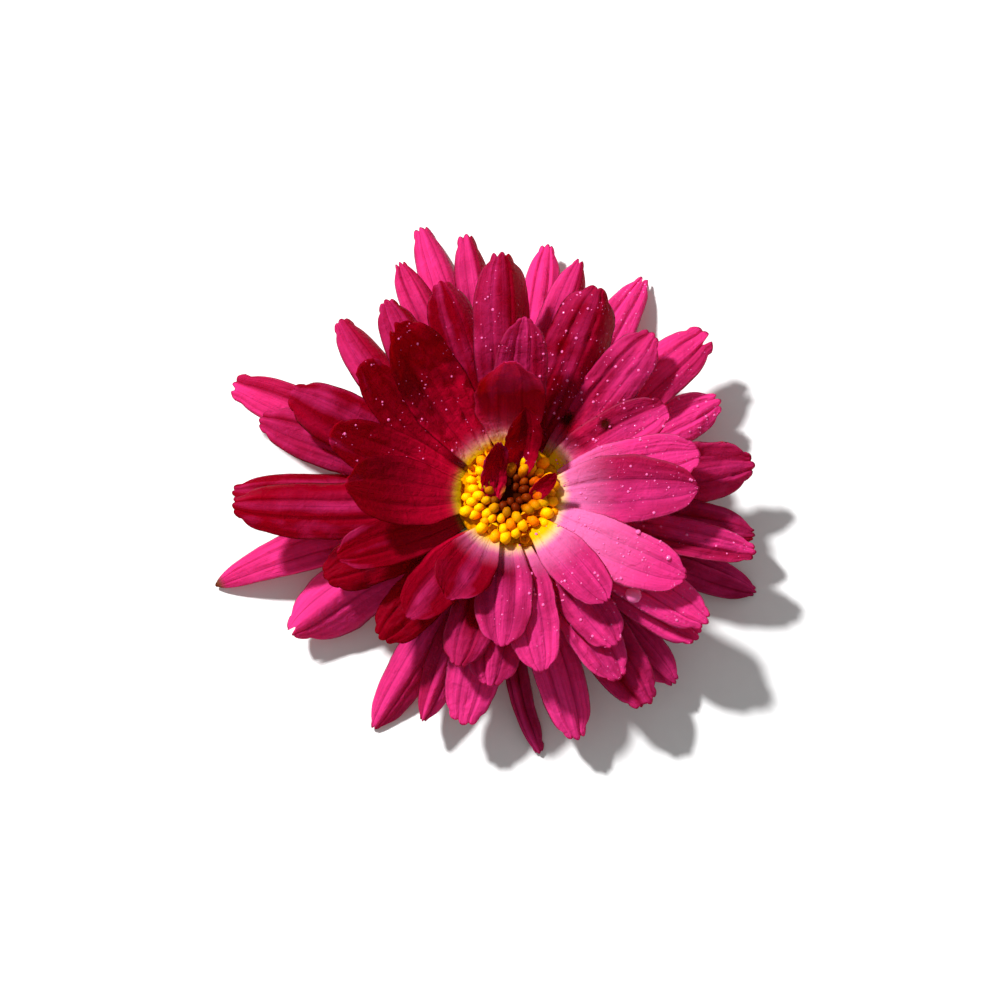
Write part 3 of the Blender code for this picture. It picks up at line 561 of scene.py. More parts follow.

# Dew: beads of water on the upper faces, most of them specks, thickest on the petals to the right
# and on the dark ones at the back. Partly clear, with a pink body that is a painted reflection of the petals.
dewSkin = {"paintedPetalReflection": "#F870B4", "clear": 0.4, "roughness": 0.06, "IOR": 1.333, "dustSize": 0.2, "dustDepth": 0.02}
dewPlan = {"Density": 1.25e6, "Smallest": 0.06, "Largest": 0.22, "Patch": 2.2, "Seed": 4}
dewLengths = ("Smallest", "Largest", "Patch")
wetness = {
    "inner_01": 0.7, "inner_02": 0.7, "inner_03": 1.0, "inner_04": 0.6, "inner_05": 0.5, "inner_06": 0.25,
    "inner_11": 0.25, "inner_12": 0.3, "inner_13": 0.35, "inner_15": 0.4, "inner_16": 0.9, "middle_03": 0.1,
    "middle_04": 0.15, "middle_05": 0.6, "middle_06": 0.5, "middle_07": 0.9, "middle_08": 0.5, "middle_09": 0.8,
    "middle_10": 0.4, "outer_12": 0.3, "outer_15": 0.7, "outer_16": 0.35, "outer_17": 0.6, "centre_1": 0.5,
}
bigDrops = ((15.4, -12.4, 1.05), (15.8, -5.1, 0.34), (19.5, -8.3, 0.32))      # from the axis, and radius, mm
dropLift, dropHeight = 0.3, 0.75      # of a drop's radius: how far its middle stands off the petal, and its height


def makeDewSkin():
    material, tree, output = newMaterial("bead of dew")
    here = addNode(tree, "ShaderNodeTexCoord").outputs["Object"]
    dust = addNode(tree, "ShaderNodeTexNoise", {"Vector": here, "Scale": 1 / (dewSkin["dustSize"] * mm),
                                                "Detail": 2.0})
    clear = chain(tree, maths, dust, ("range", 0.0, 1.0, dewSkin["clear"] - 0.08, dewSkin["clear"] + 0.08))
    bump = addNode(tree, "ShaderNodeBump", {"Height": dust, "Strength": 0.1, "Distance": dewSkin["dustDepth"] * mm})
    # the pink base colour is a painted reflection of the petal under each bead
    water = addNode(tree, "ShaderNodeBsdfPrincipled", {
        "Base Color": paints(dewSkin)["paintedPetalReflection"], "Transmission Weight": clear, "Normal": bump,
        "Roughness": dewSkin["roughness"], "IOR": dewSkin["IOR"], "Specular IOR Level": 0.3})
    tree.links.new(water.outputs[0], output.inputs["Surface"])
    return material


def buildDewTree():
    tree = newTree("settle the dew", {"Petals": "Geometry", "Density": "Float", "Smallest": "Float", "Largest": "Float",
                                      "Patch": "Float", "Seed": "Int", "Skin": "Material"})
    given = addNode(tree, "NodeGroupInput").outputs
    wet = addNode(tree, "GeometryNodeInputNamedAttribute", {"Name": "wet"}, data_type="FLOAT")
    spot = chain(tree, vectorMaths, addNode(tree, "GeometryNodeInputPosition"), ("DIVIDE", given["Patch"]))
    patch = addNode(tree, "ShaderNodeTexNoise", {"Vector": spot, "Scale": 1.0, "Detail": 1.0})
    patch = chain(tree, maths, patch, ("range", 0.4, 0.65, 0.15, 1.6))
    thick = chain(tree, maths, wet.outputs[0], ("MULTIPLY", given["Density"]), ("MULTIPLY", patch))
    facing = addNode(tree, "ShaderNodeSeparateXYZ", {0: addNode(tree, "GeometryNodeInputNormal")})
    upper = chain(tree, maths, facing.outputs["Z"], ("GREATER_THAN", 0.3))
    beads = addNode(tree, "GeometryNodeDistributePointsOnFaces", {
        "Mesh": given["Petals"], "Selection": upper, "Density": thick, "Seed": given["Seed"]})
    size = addNode(tree, "FunctionNodeRandomValue", {2: 0.0, 3: 1.0, "Seed": 6}, data_type="FLOAT")
    size = chain(tree, maths, size.outputs[1], ("POWER", 4.0),
                 ("range", 0.0, 1.0, given["Smallest"], given["Largest"]))
    turned = addNode(tree, "FunctionNodeAlignRotationToVector", {"Vector": beads.outputs["Normal"]}, axis="Z")
    bead = addNode(tree, "GeometryNodeMeshUVSphere", {"Segments": 8, "Rings": 5, "Radius": 1.0})
    bead = addNode(tree, "GeometryNodeTransform", {"Geometry": bead, "Translation": (0, 0, 0.05), "Scale": (1, 1, 0.6)})
    bead = addNode(tree, "GeometryNodeSetShadeSmooth", {"Geometry": bead})
    dew = addNode(tree, "GeometryNodeInstanceOnPoints", {"Points": beads.outputs["Points"], "Instance": bead,
                                                         "Rotation": turned, "Scale": size})
    return closeTree(tree, dew, given["Skin"])


def gatherWetPetals():
    bm = bmesh.new()
    layer = bm.verts.layers.float.new("wet")
    for name, share in wetness.items():
        first = len(bm.verts)
        bm.from_mesh(petals[name].data)
        bm.verts.ensure_lookup_table()
        for vert in bm.verts[first:]:
            vert[layer] = share
    mesh = bpy.data.meshes.new("wet petals")
    bm.to_mesh(mesh)
    bm.free()
    return mesh


def addBigDrops(mesh):
    bm = bmesh.new()
    bm.from_mesh(mesh)
    bm.faces.ensure_lookup_table()
    skinSlot = bm.faces[0].material_index
    for x, y, radius in bigDrops:
        start = axis + Vector((x, y, 40)) * mm
        hits = [petal.ray_cast(start, Vector((0, 0, -1))) for petal in petals.values()]
        place, normal = max(((hit[1], hit[2]) for hit in hits if hit[0]), key=lambda found: found[0].z)
        turned = normal.to_track_quat("Z", "Y").to_matrix().to_4x4()
        matrix = Matrix.Translation(place + normal * dropLift * radius * mm) @ turned
        matrix = matrix @ Matrix.Diagonal((1, 1, dropHeight, 1))
        made = bmesh.ops.create_uvsphere(bm, u_segments=28, v_segments=16, radius=radius * mm, matrix=matrix)
        for vert in made["verts"]:
            for face in vert.link_faces:
                face.smooth, face.material_index = True, skinSlot
    bm.to_mesh(mesh)
    bm.free()


values = {key: value * mm if key in dewLengths else value for key, value in dewPlan.items()}
dew = growPiece("dew_beads", buildDewTree(), {**values, "Skin": makeDewSkin()}, gatherWetPetals())
addBigDrops(dew.data)
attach(dew, "root")
print("dew settled:", len(dew.data.polygons), "faces")


# Disc florets: waxy, bright golden kernels packed in spirals round a hollow painted dark as painted shade,
# those at the rim leaning outwards, some already orange. They catch a small soft highlight each.
budSkin = {"shade": "#CC7000", "gold": "#F49400", "top": "#FAAE00", "ripe": "#E86400", "unripe": "#CCA800",
           "paintedCastShadow": "#A83600", "paintedCastShadowAt": (2.6, 0.9), "paintedCastShadowReach": (4.2, 2.7),    # mm from the axis, and half spans
           "hollow": "#5A1400", "highlight": "#FFE08A", "roughness": 0.5, "grainSize": 0.3, "grainDepth": 0.06}


def makeBudSkin():
    paint = paints(budSkin)
    material, tree, output = newMaterial("waxy disc floret")
    height, ripe, rim = (addNode(tree, "ShaderNodeAttribute", attribute_name=name).outputs["Fac"]
                         for name in ("budHeight", "ripe", "rim"))
    here = addNode(tree, "ShaderNodeTexCoord").outputs["Object"]
    grain = addNode(tree, "ShaderNodeTexNoise", {"Vector": here, "Scale": 1 / (budSkin["grainSize"] * mm),
                                                 "Detail": 2.0})
    ramp = addNode(tree, "ShaderNodeValToRGB", {"Fac": height})
    colour = fillRamp(ramp, (0.25, paint["shade"]), (0.6, paint["gold"]), (0.95, paint["top"]))
    # the kernels right of the middle painted a darker red brown: painted shadow cast by the standing centre petals
    away = chain(tree, vectorMaths, here, ("SUBTRACT", tuple(axis + Vector((*budSkin["paintedCastShadowAt"], 0)) * mm)))
    reachX, reachY = budSkin["paintedCastShadowReach"]
    away = chain(tree, vectorMaths, away, ("MULTIPLY", (1 / (reachX * mm), 1 / (reachY * mm), 0)),
                 ("LENGTH",)).outputs["Value"]
    # ripe and unripe are the kernels' own colours; the hollow share paints the middle dark brown, painted shade in the
    # hollow
    for name, source, near, far, most in (("ripe", ripe, 0.62, 1.0, 0.9), ("unripe", ripe, 0.25, 0.0, 0.8),
                                          ("paintedCastShadow", away, 1.1, 0.5, 0.9), ("hollow", rim, 0.66, 0.36, 1.0)):
        share = chain(tree, maths, source, ("range", near, far, 0.0, most))
        colour = addNode(tree, "ShaderNodeMix", {0: share, 6: colour, 7: paint[name]}, data_type="RGBA").outputs[2]
    shade = chain(tree, maths, grain, ("range", 0.0, 1.0, 0.8, 1.15))
    colour = chain(tree, vectorMaths, colour, ("MULTIPLY", shade))
    bump = addNode(tree, "ShaderNodeBump", {"Height": grain, "Strength": 0.3, "Distance": budSkin["grainDepth"] * mm})
    wax = addNode(tree, "ShaderNodeBsdfPrincipled", {
        "Base Color": colour, "Roughness": budSkin["roughness"], "Normal": bump, "IOR": 1.45,
        "Specular IOR Level": 0.12, "Specular Tint": paint["highlight"], "Subsurface Weight": 0.4,
        "Subsurface Radius": (1.0, 0.5, 0.1), "Subsurface Scale": 0.5 * mm})
    tree.links.new(wax.outputs[0], output.inputs["Surface"])
    return material


# Cushion between the florets: the chaffy skin of the receptacle, painted orange as painted glow, the light the waxy
# florets pass into the gaps.
cushionSkin = {"low": "#9A5600", "high": "#D08C00", "hollow": "#2E0A02", "paintedShadeFrom": 2.0, "paintedShadeTo": 3.6,
               "roughness": 0.7, "grainSize": 0.5, "grainDepth": 0.15}


def makeCushionSkin():
    look, paint = cushionSkin, paints(cushionSkin)
    material, tree, output = newMaterial("chaffy receptacle skin")
    here = addNode(tree, "ShaderNodeTexCoord").outputs["Object"]
    grain = addNode(tree, "ShaderNodeTexNoise", {"Vector": here, "Scale": 1 / (look["grainSize"] * mm), "Detail": 3.0})
    ramp = addNode(tree, "ShaderNodeValToRGB", {"Fac": grain})
    # orange throughout: painted glow in the gaps between the florets
    colour = fillRamp(ramp, (0.35, paint["low"]), (0.7, paint["high"]))
    away = chain(tree, vectorMaths, here, ("SUBTRACT", tuple(axis)), ("MULTIPLY", (1, 1, 0)),
                 ("LENGTH",)).outputs["Value"]
    # the middle painted near black: painted shade in the hollow
    hollow = chain(tree, maths, away, ("range", look["paintedShadeFrom"] * mm, look["paintedShadeTo"] * mm, 1.0, 0.0))
    colour = addNode(tree, "ShaderNodeMix", {0: hollow, 6: colour, 7: paint["hollow"]}, data_type="RGBA").outputs[2]
    bump = addNode(tree, "ShaderNodeBump", {"Height": grain, "Strength": 0.5, "Distance": look["grainDepth"] * mm})
    chaff = addNode(tree, "ShaderNodeBsdfPrincipled", {"Base Color": colour, "Roughness": look["roughness"],
                                                       "Normal": bump, "Specular IOR Level": 0.0})
    tree.links.new(chaff.outputs[0], output.inputs["Surface"])
    return material


def buildDiscTree():
    tree = newTree("set the disc florets", {
        "Axis": "Vector", "Radius": "Float", "Base": "Float", "Dome": "Float", "Dimple": "Float", "Buds": "Int",
        "Bud Width": "Float", "Bud Height": "Float", "Lean": "Float", "Stretch": "Float", "Open Share": "Float",
        "Seed": "Int", "Bud Skin": "Material", "Cushion Skin": "Material",
    })
    given = addNode(tree, "NodeGroupInput").outputs
    index = addNode(tree, "GeometryNodeInputIndex")
    place = chain(tree, maths, index, ("ADD", 0.6), ("DIVIDE", given["Buds"]))
    ratio = chain(tree, maths, place, ("SQRT",))
    radius = chain(tree, maths, ratio, ("MULTIPLY", given["Radius"]))
    turn = chain(tree, maths, index, ("MULTIPLY", golden))
    x = chain(tree, maths, turn, ("COSINE",), ("MULTIPLY", radius))
    y = chain(tree, maths, turn, ("SINE",), ("MULTIPLY", radius))
    hollow = chain(tree, maths, ratio, ("ease", 0.55, 0.0), ("MULTIPLY", given["Dimple"]))
    z = chain(tree, maths, place, ("MULTIPLY_ADD", -1.0, 1.0), ("MULTIPLY_ADD", given["Dome"], given["Base"]),
              ("SUBTRACT", hollow))
    spot = addNode(tree, "ShaderNodeCombineXYZ", {0: x, 1: y, 2: z})
    spot = chain(tree, vectorMaths, spot, ("ADD", given["Axis"]))
    stray = addNode(tree, "FunctionNodeRandomValue", {
        0: (-1, -1, -1), 1: (1, 1, 1), "ID": index, "Seed": given["Seed"]}, data_type="FLOAT_VECTOR")
    loose = chain(tree, maths, given["Bud Width"], ("MULTIPLY", 0.12))
    spot = chain(tree, vectorMaths, stray, ("MULTIPLY", loose), ("ADD", spot))
    line = addNode(tree, "GeometryNodeMeshLine", {"Count": given["Buds"]})
    points = addNode(tree, "GeometryNodeSetPosition", {"Geometry": line, "Position": spot})

    # a closed bud: a blunt kernel with five seams on its crown, and an open one with lobes round a hollow
    shapes = []
    for lobes, cup, flare in ((0.07, 0.0, 0.12), (0.22, 1.2, 0.26)):
        egg = addNode(tree, "GeometryNodeMeshUVSphere", {"Segments": 10, "Rings": 8, "Radius": 1.0})
        at = addNode(tree, "GeometryNodeInputPosition")
        level = addNode(tree, "ShaderNodeSeparateXYZ", {0: at})
        level = chain(tree, maths, level.outputs["Z"], ("ABSOLUTE",), ("POWER", 3.4),
                      ("MULTIPLY_ADD", -1.0, 1.0, clamped), ("POWER", 1 / 2.6))
        ring = chain(tree, vectorMaths, at, ("MULTIPLY", (1, 1, 0)), ("NORMALIZE",), ("MULTIPLY", level))
        at = chain(tree, vectorMaths, at, ("MULTIPLY", (0, 0, 1)), ("ADD", ring))
        at = addNode(tree, "ShaderNodeSeparateXYZ", {0: at})
        seams = chain(tree, maths, at.outputs["Y"], ("ARCTAN2", at.outputs["X"]), ("MULTIPLY", 5.0), ("COSINE",))
        wide = chain(tree, maths, at.outputs["Z"], ("range", 0.1, 0.9), ("MULTIPLY", seams),
                     ("MULTIPLY_ADD", lobes, 1.0))
        wide = chain(tree, maths, at.outputs["Z"], ("MULTIPLY_ADD", flare, wide))
        flatX = chain(tree, maths, wide, ("MULTIPLY", at.outputs["X"]))
        flatY = chain(tree, maths, at.outputs["Y"], ("MULTIPLY", wide))
        sunk = chain(tree, maths, at.outputs["Z"], ("ease", 0.55, 1.0, 0.0, cup))
        tall = chain(tree, maths, at.outputs["Z"], ("SUBTRACT", sunk))
        bent = addNode(tree, "ShaderNodeCombineXYZ", {0: flatX, 1: flatY, 2: tall})
        egg = addNode(tree, "GeometryNodeSetPosition", {"Geometry": egg, "Position": bent, "Offset": (0, 0, 0.8)})
        level = addNode(tree, "ShaderNodeSeparateXYZ", {0: addNode(tree, "GeometryNodeInputPosition")})
        level = chain(tree, maths, level.outputs["Z"], ("range", 0.0, 1.8))
        egg = addNode(tree, "GeometryNodeStoreNamedAttribute", {"Geometry": egg, "Name": "budHeight", "Value": level})
        shapes.append(addNode(tree, "GeometryNodeSetShadeSmooth", {"Geometry": egg}))
    both = addNode(tree, "GeometryNodeGeometryToInstance")
    for shape in reversed(shapes):
        tree.links.new(shape.outputs[0], both.inputs[0])
    chance = addNode(tree, "FunctionNodeRandomValue", {2: 0.0, 3: 1.0, "ID": index, "Seed": 7}, data_type="FLOAT")
    odds = chain(tree, maths, ratio, ("GREATER_THAN", 0.6), ("MULTIPLY", given["Open Share"]))
    isOpen = chain(tree, maths, chance.outputs[1], ("LESS_THAN", odds))

    # each kernel's broad side faces outwards, and it leans out the more, the nearer it is to the rim
    lean = chain(tree, maths, ratio, ("MULTIPLY", given["Lean"]))
    wild = addNode(tree, "ShaderNodeSeparateXYZ", {0: stray})
    lean = chain(tree, maths, wild.outputs["X"], ("MULTIPLY_ADD", 0.16, lean))
    aside = chain(tree, maths, wild.outputs["Y"], ("MULTIPLY", 0.16))
    facing = addNode(tree, "ShaderNodeCombineXYZ", {0: aside, 1: lean, 2: turn})
    facing = addNode(tree, "FunctionNodeEulerToRotation", {0: facing})
    size = addNode(tree, "FunctionNodeRandomValue", {2: 0.86, 3: 1.14, "ID": index, "Seed": 3}, data_type="FLOAT")
    size = chain(tree, maths, ratio, ("range", 0.0, 1.0, 0.7, 1.04), ("MULTIPLY", size.outputs[1]))
    halfWidth = chain(tree, maths, given["Bud Width"], ("MULTIPLY", 0.5))
    halfDepth = chain(tree, maths, halfWidth, ("MULTIPLY", given["Stretch"]))
    halfHeight = chain(tree, maths, given["Bud Height"], ("MULTIPLY", 0.5))
    scale = addNode(tree, "ShaderNodeCombineXYZ", {0: halfDepth, 1: halfWidth, 2: halfHeight})
    scale = chain(tree, vectorMaths, scale, ("MULTIPLY", size))
    buds = addNode(tree, "GeometryNodeInstanceOnPoints", {
        "Points": points, "Instance": both, "Pick Instance": True, "Instance Index": isOpen, "Rotation": facing,
        "Scale": scale})
    ripe = addNode(tree, "FunctionNodeRandomValue", {2: 0.0, 3: 1.0, "ID": index, "Seed": 11}, data_type="FLOAT")
    for label, value in (("ripe", ripe.outputs[1]), ("rim", ratio)):
        buds = addNode(tree, "GeometryNodeStoreNamedAttribute", {"Geometry": buds, "Name": label, "Value": value},
                       domain="INSTANCE")
    buds = addNode(tree, "GeometryNodeRealizeInstances", {"Geometry": buds})
    buds = addNode(tree, "GeometryNodeSetMaterial", {"Geometry": buds, "Material": given["Bud Skin"]})

    cushion = addNode(tree, "GeometryNodeMeshUVSphere", {"Segments": 36, "Rings": 12, "Radius": 1.0})
    wide = chain(tree, maths, given["Radius"], ("MULTIPLY", 1.4))
    high = chain(tree, maths, given["Dome"], ("MULTIPLY", 0.9))
    size = addNode(tree, "ShaderNodeCombineXYZ", {0: wide, 1: wide, 2: high})
    lift = addNode(tree, "ShaderNodeCombineXYZ", {2: given["Base"]})
    lift = chain(tree, vectorMaths, lift, ("ADD", given["Axis"]))
    cushion = addNode(tree, "GeometryNodeTransform", {"Geometry": cushion, "Translation": lift, "Scale": size})
    cushion = addNode(tree, "GeometryNodeSetShadeSmooth", {"Geometry": cushion})
    cushion = addNode(tree, "GeometryNodeSetMaterial", {"Geometry": cushion, "Material": given["Cushion Skin"]})
    whole = addNode(tree, "GeometryNodeJoinGeometry")
    for part in (cushion, buds):
        tree.links.new(part.outputs[0], whole.inputs[0])
    whole = addNode(tree, "GeometryNodeRealizeInstances", {"Geometry": whole})
    addNode(tree, "NodeGroupOutput", {"Geometry": whole})
    return tree


discPlan = {"Radius": 4.85, "Base": 12.4, "Dome": 0.9, "Dimple": 2.1, "Buds": 84, "Bud Width": 1.26,
            "Bud Height": 2.6, "Lean": 0.7, "Stretch": 1.2, "Open Share": 0.16, "Seed": 5}
discShift = Vector((0.0, 0.2, 0))     # the ring of claws sits a little off the middle
discLengths = ("Radius", "Base", "Dome", "Dimple", "Bud Width", "Bud Height")
values = {key: value * mm if key in discLengths else value for key, value in discPlan.items()}
disc = growPiece("floret_disc", buildDiscTree(), {**values, "Axis": axis + discShift * mm, "Bud Skin": makeBudSkin(),
                                                  "Cushion Skin": makeCushionSkin()})
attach(disc, "root")
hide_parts("disc_florets")
print("disc set:", len(disc.data.polygons), "faces")


# Bracts: dull green, downy leaves pressed under the flower, each with a darker rib and a thin,
# papery pale margin.
bractSkin = {"rib": "#46602A", "blade": "#6F8B48", "edge": "#7F9752", "margin": "#C9C49A", "down": "#E8EFD8",
             "roughness": 0.6, "downSize": 0.35, "downDepth": 0.1}


def makeBractSkin():
    look, paint = bractSkin, paints(bractSkin)
    material, tree, output = newMaterial("downy green bract")
    uv = addNode(tree, "ShaderNodeUVMap", uv_map="PetalMap")
    parts = addNode(tree, "ShaderNodeSeparateXYZ", {0: uv.outputs["UV"]})
    here = addNode(tree, "ShaderNodeTexCoord").outputs["Object"]
    off = chain(tree, maths, parts.outputs["X"], ("SUBTRACT", 0.5), ("ABSOLUTE",))
    down = addNode(tree, "ShaderNodeTexNoise", {"Vector": here, "Scale": 1 / (look["downSize"] * mm), "Detail": 3.0})
    edge = chain(tree, maths, down, ("MULTIPLY_ADD", 0.1, off))
    ramp = addNode(tree, "ShaderNodeValToRGB", {"Fac": edge})
    colour = fillRamp(ramp, (0.05, paint["rib"]), (0.14, paint["blade"]), (0.40, paint["edge"]),
                      (0.48, paint["margin"]))
    shade = chain(tree, maths, down, ("range", 0.0, 1.0, 0.75, 1.15))
    colour = chain(tree, vectorMaths, colour, ("MULTIPLY", shade))
    bump = addNode(tree, "ShaderNodeBump", {"Height": down, "Strength": 0.4, "Distance": look["downDepth"] * mm})
    leaf = addNode(tree, "ShaderNodeBsdfPrincipled", {"Base Color": colour, "Roughness": look["roughness"],
                                                      "Normal": bump, "Sheen Weight": 0.3, "Sheen Tint": paint["down"]})
    tree.links.new(leaf.outputs[0], output.inputs["Surface"])
    return material


def buildWhorlTree(bladeTree):
    tree = newTree("whorl of bracts", {"Axis": "Vector", "Bracts": "Int", "Start": "Float", "Foot": "Vector",
                                       "Crest": "Vector", "Tip": "Vector", "Width": "Float", "Skin": "Material"})
    given = addNode(tree, "NodeGroupInput").outputs
    blade = tree.nodes.new("GeometryNodeGroup")
    blade.node_tree = bladeTree
    shape = {**petalCommon, **petalKinds["outer"], **bractHabit}
    for key, value in shape.items():
        blade.inputs[key].default_value = value * mm if key in petalLengths else value
    for key in ("Foot", "Crest", "Tip", "Width", "Skin"):
        tree.links.new(given[key], blade.inputs[key])
    line = addNode(tree, "GeometryNodeMeshLine", {"Count": given["Bracts"]})
    here = addNode(tree, "GeometryNodeSetPosition", {"Geometry": line, "Position": given["Axis"]})
    index = addNode(tree, "GeometryNodeInputIndex")
    turn = chain(tree, maths, 2 * math.pi, ("DIVIDE", given["Bracts"]), ("MULTIPLY_ADD", index, given["Start"]))
    stray = addNode(tree, "FunctionNodeRandomValue", {2: -0.06, 3: 0.06, "ID": index, "Seed": 2}, data_type="FLOAT")
    turn = chain(tree, maths, turn, ("ADD", stray.outputs[1]))
    size = addNode(tree, "FunctionNodeRandomValue", {2: 0.95, 3: 1.02, "ID": index, "Seed": 9}, data_type="FLOAT")
    spun = addNode(tree, "ShaderNodeCombineXYZ", {2: turn})
    whorl = addNode(tree, "GeometryNodeInstanceOnPoints", {
        "Points": here, "Instance": blade, "Rotation": addNode(tree, "FunctionNodeEulerToRotation", {0: spun}),
        "Scale": addNode(tree, "ShaderNodeCombineXYZ", {0: size.outputs[1], 1: size.outputs[1], 2: 1.0})})
    return closeTree(tree, whorl, given["Skin"])


bractHabit = {"Claw": 0.7, "Widest": 0.45, "Bluntness": 1.8, "Roll": 0.35, "End Roll": 0.2, "Rib": -0.12, "Ripple": 0.3,
              "Tooth": 0.0, "End Width": 0.1, "Rows": 14, "Columns": 20, "Thickness": 0.3, "Tone": 0.0}
# three rows, the lowest shortest: number of bracts, first one's turn, foot and tip (radius, height),
# how far the middle hangs below the straight line, width; all in mm
bractRows = {
    "lower": (11, 0.0, (2.3, 2.0), (7.2, 4.0), 0.9, 2.9),
    "centre": (13, 0.25, (2.4, 2.5), (8.6, 4.9), 1.0, 3.1),
    "upper": (13, 0.0, (2.5, 3.0), (9.9, 5.4), 0.9, 3.4),
}
bractMaterial = makeBractSkin()
whorlTree = buildWhorlTree(petalTree)
for row, (count, start, foot, tip, hang, width) in bractRows.items():
    foot, tip = Vector((foot[0], 0, foot[1])), Vector((tip[0], 0, tip[1]))
    whorl = growPiece("bracts_" + row, whorlTree, {
        "Axis": axis, "Bracts": count, "Start": start, "Foot": foot * mm, "Tip": tip * mm, "Width": width * mm,
        "Crest": midline(foot, tip, -hang / 2, 0.0) * mm, "Skin": bractMaterial})
    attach(whorl, "root")
    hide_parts("bract_cup")
print("bracts laid in", len(bractRows), "rows")


# Stem: fresh green, ridged lengthwise and finely downy, its cut end showing pale moist pith inside
# a darker ring. The same skin runs up over the swollen receptacle.
stemSkin = {"low": "#3F5A22", "high": "#86A050", "pith": "#D9DDB0", "pithFrom": 1.0, "pithTo": 1.35,
            "roughness": 0.55, "fibreWidth": 0.3, "fibreDepth": 0.1}


def makeStemSkin():
    look, paint = stemSkin, paints(stemSkin)
    material, tree, output = newMaterial("ridged green stem")
    here = addNode(tree, "ShaderNodeTexCoord").outputs["Object"]
    local = chain(tree, vectorMaths, here, ("SUBTRACT", tuple(axis)))
    parts = addNode(tree, "ShaderNodeSeparateXYZ", {0: local})
    fibres = addNode(tree, "ShaderNodeMapping", {"Vector": local, "Scale": (1.0, 1.0, 0.12)})
    grain = addNode(tree, "ShaderNodeTexNoise", {"Vector": fibres, "Scale": 1 / (look["fibreWidth"] * mm),
                                                 "Detail": 3.0})
    ramp = addNode(tree, "ShaderNodeValToRGB", {"Fac": grain})
    skin = fillRamp(ramp, (0.3, paint["low"]), (0.7, paint["high"]))
    radius = chain(tree, vectorMaths, local, ("MULTIPLY", (1, 1, 0)), ("LENGTH",)).outputs["Value"]
    pith = chain(tree, maths, radius, ("range", look["pithFrom"] * mm, look["pithTo"] * mm, 1.0, 0.0))
    pith = chain(tree, maths, parts.outputs["Z"], ("range", 0.02 * mm, 0.1 * mm, 1.0, 0.0), ("MULTIPLY", pith))
    colour = addNode(tree, "ShaderNodeMix", {0: pith, 6: skin, 7: paint["pith"]}, data_type="RGBA").outputs[2]
    bump = addNode(tree, "ShaderNodeBump", {"Height": grain, "Strength": 0.4, "Distance": look["fibreDepth"] * mm})
    leaf = addNode(tree, "ShaderNodeBsdfPrincipled", {"Base Color": colour, "Roughness": look["roughness"],
                                                      "Normal": bump, "Sheen Weight": 0.2})
    tree.links.new(leaf.outputs[0], output.inputs["Surface"])
    return material


def buildStemTree():
    # one tube whose radius and height follow two drawn curves from the cut end to the crown
    tree = newTree("turn the stem", {"Axis": "Vector", "Height": "Float", "Radius": "Float", "Ridges": "Float",
                                     "Ridge Depth": "Float", "Skin": "Material"})
    given = addNode(tree, "NodeGroupInput").outputs
    tube = addNode(tree, "GeometryNodeMeshCylinder", {"Vertices": 56, "Side Segments": 44, "Fill Segments": 2,
                                                      "Radius": 1.0, "Depth": 1.0}, fill_type="TRIANGLE_FAN")
    place = addNode(tree, "ShaderNodeSeparateXYZ", {0: addNode(tree, "GeometryNodeInputPosition")})
    t = chain(tree, maths, place.outputs["Z"], ("ADD", 0.5, clamped))
    curves = []
    for drawn in (stemPlan["radii"], stemPlan["heights"]):
        curve = addNode(tree, "ShaderNodeFloatCurve", {"Value": t})
        points = curve.mapping.curves[0].points
        for at, (along, value) in enumerate(drawn):
            if at < 2:
                points[at].location = (along, value)
            else:
                points.new(along, value)
        for point in points:
            point.handle_type = "AUTO_CLAMPED"
        curve.mapping.update()
        curves.append(curve)
    ridge = chain(tree, maths, place.outputs["Y"], ("ARCTAN2", place.outputs["X"]), ("MULTIPLY", given["Ridges"]),
                  ("COSINE",), ("MULTIPLY", given["Ridge Depth"]))
    wide = chain(tree, maths, curves[0], ("MULTIPLY_ADD", given["Radius"], ridge))
    flat = addNode(tree, "ShaderNodeCombineXYZ", {0: place.outputs["X"], 1: place.outputs["Y"]})
    flat = chain(tree, vectorMaths, flat, ("MULTIPLY", wide))
    high = chain(tree, maths, curves[1], ("MULTIPLY", given["Height"]))
    high = addNode(tree, "ShaderNodeCombineXYZ", {2: high})
    spot = chain(tree, vectorMaths, flat, ("ADD", high), ("ADD", given["Axis"]))
    tube = addNode(tree, "GeometryNodeSetPosition", {"Geometry": tube, "Position": spot})
    tube = addNode(tree, "GeometryNodeSetShadeSmooth", {"Geometry": tube})
    return closeTree(tree, tube, given["Skin"])


# lengths in mm; radii and heights are shares of the first two, from the cut end up
stemPlan = {
    "Height": 13, "Radius": 8, "Ridges": 9.0, "Ridge Depth": 0.07,
    "radii": ((0.0, 0.20), (1.0, 0.30), (0.04, 0.2125), (0.25, 0.2125), (0.35, 0.30), (0.5, 0.62), (0.62, 0.88),
              (0.68, 0.905), (0.9, 0.80), (0.95, 0.74)),
    "heights": ((0.0, 0.0), (1.0, 0.985), (0.04, 0.015), (0.25, 0.185), (0.35, 0.225), (0.5, 0.32), (0.62, 0.415),
                (0.68, 0.47), (0.9, 0.92), (0.95, 0.96)),
}
stem = growPiece("stem_and_crown", buildStemTree(), {
    "Axis": axis, "Height": stemPlan["Height"] * mm, "Radius": stemPlan["Radius"] * mm, "Ridges": stemPlan["Ridges"],
    "Ridge Depth": stemPlan["Ridge Depth"] * mm, "Skin": makeStemSkin()})
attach(stem, "root")
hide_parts("stem_and_receptacle")
print("stem turned")


# Camera: almost straight down on the flower, as in the photograph.
cameraPlan = {"elevation": 80.0, "distance": 0.4, "lens": 115.2,
              "aim": (flower["axisX"] - 1.25, flower["axisY"], 12.0), "aimUp": -0.25}


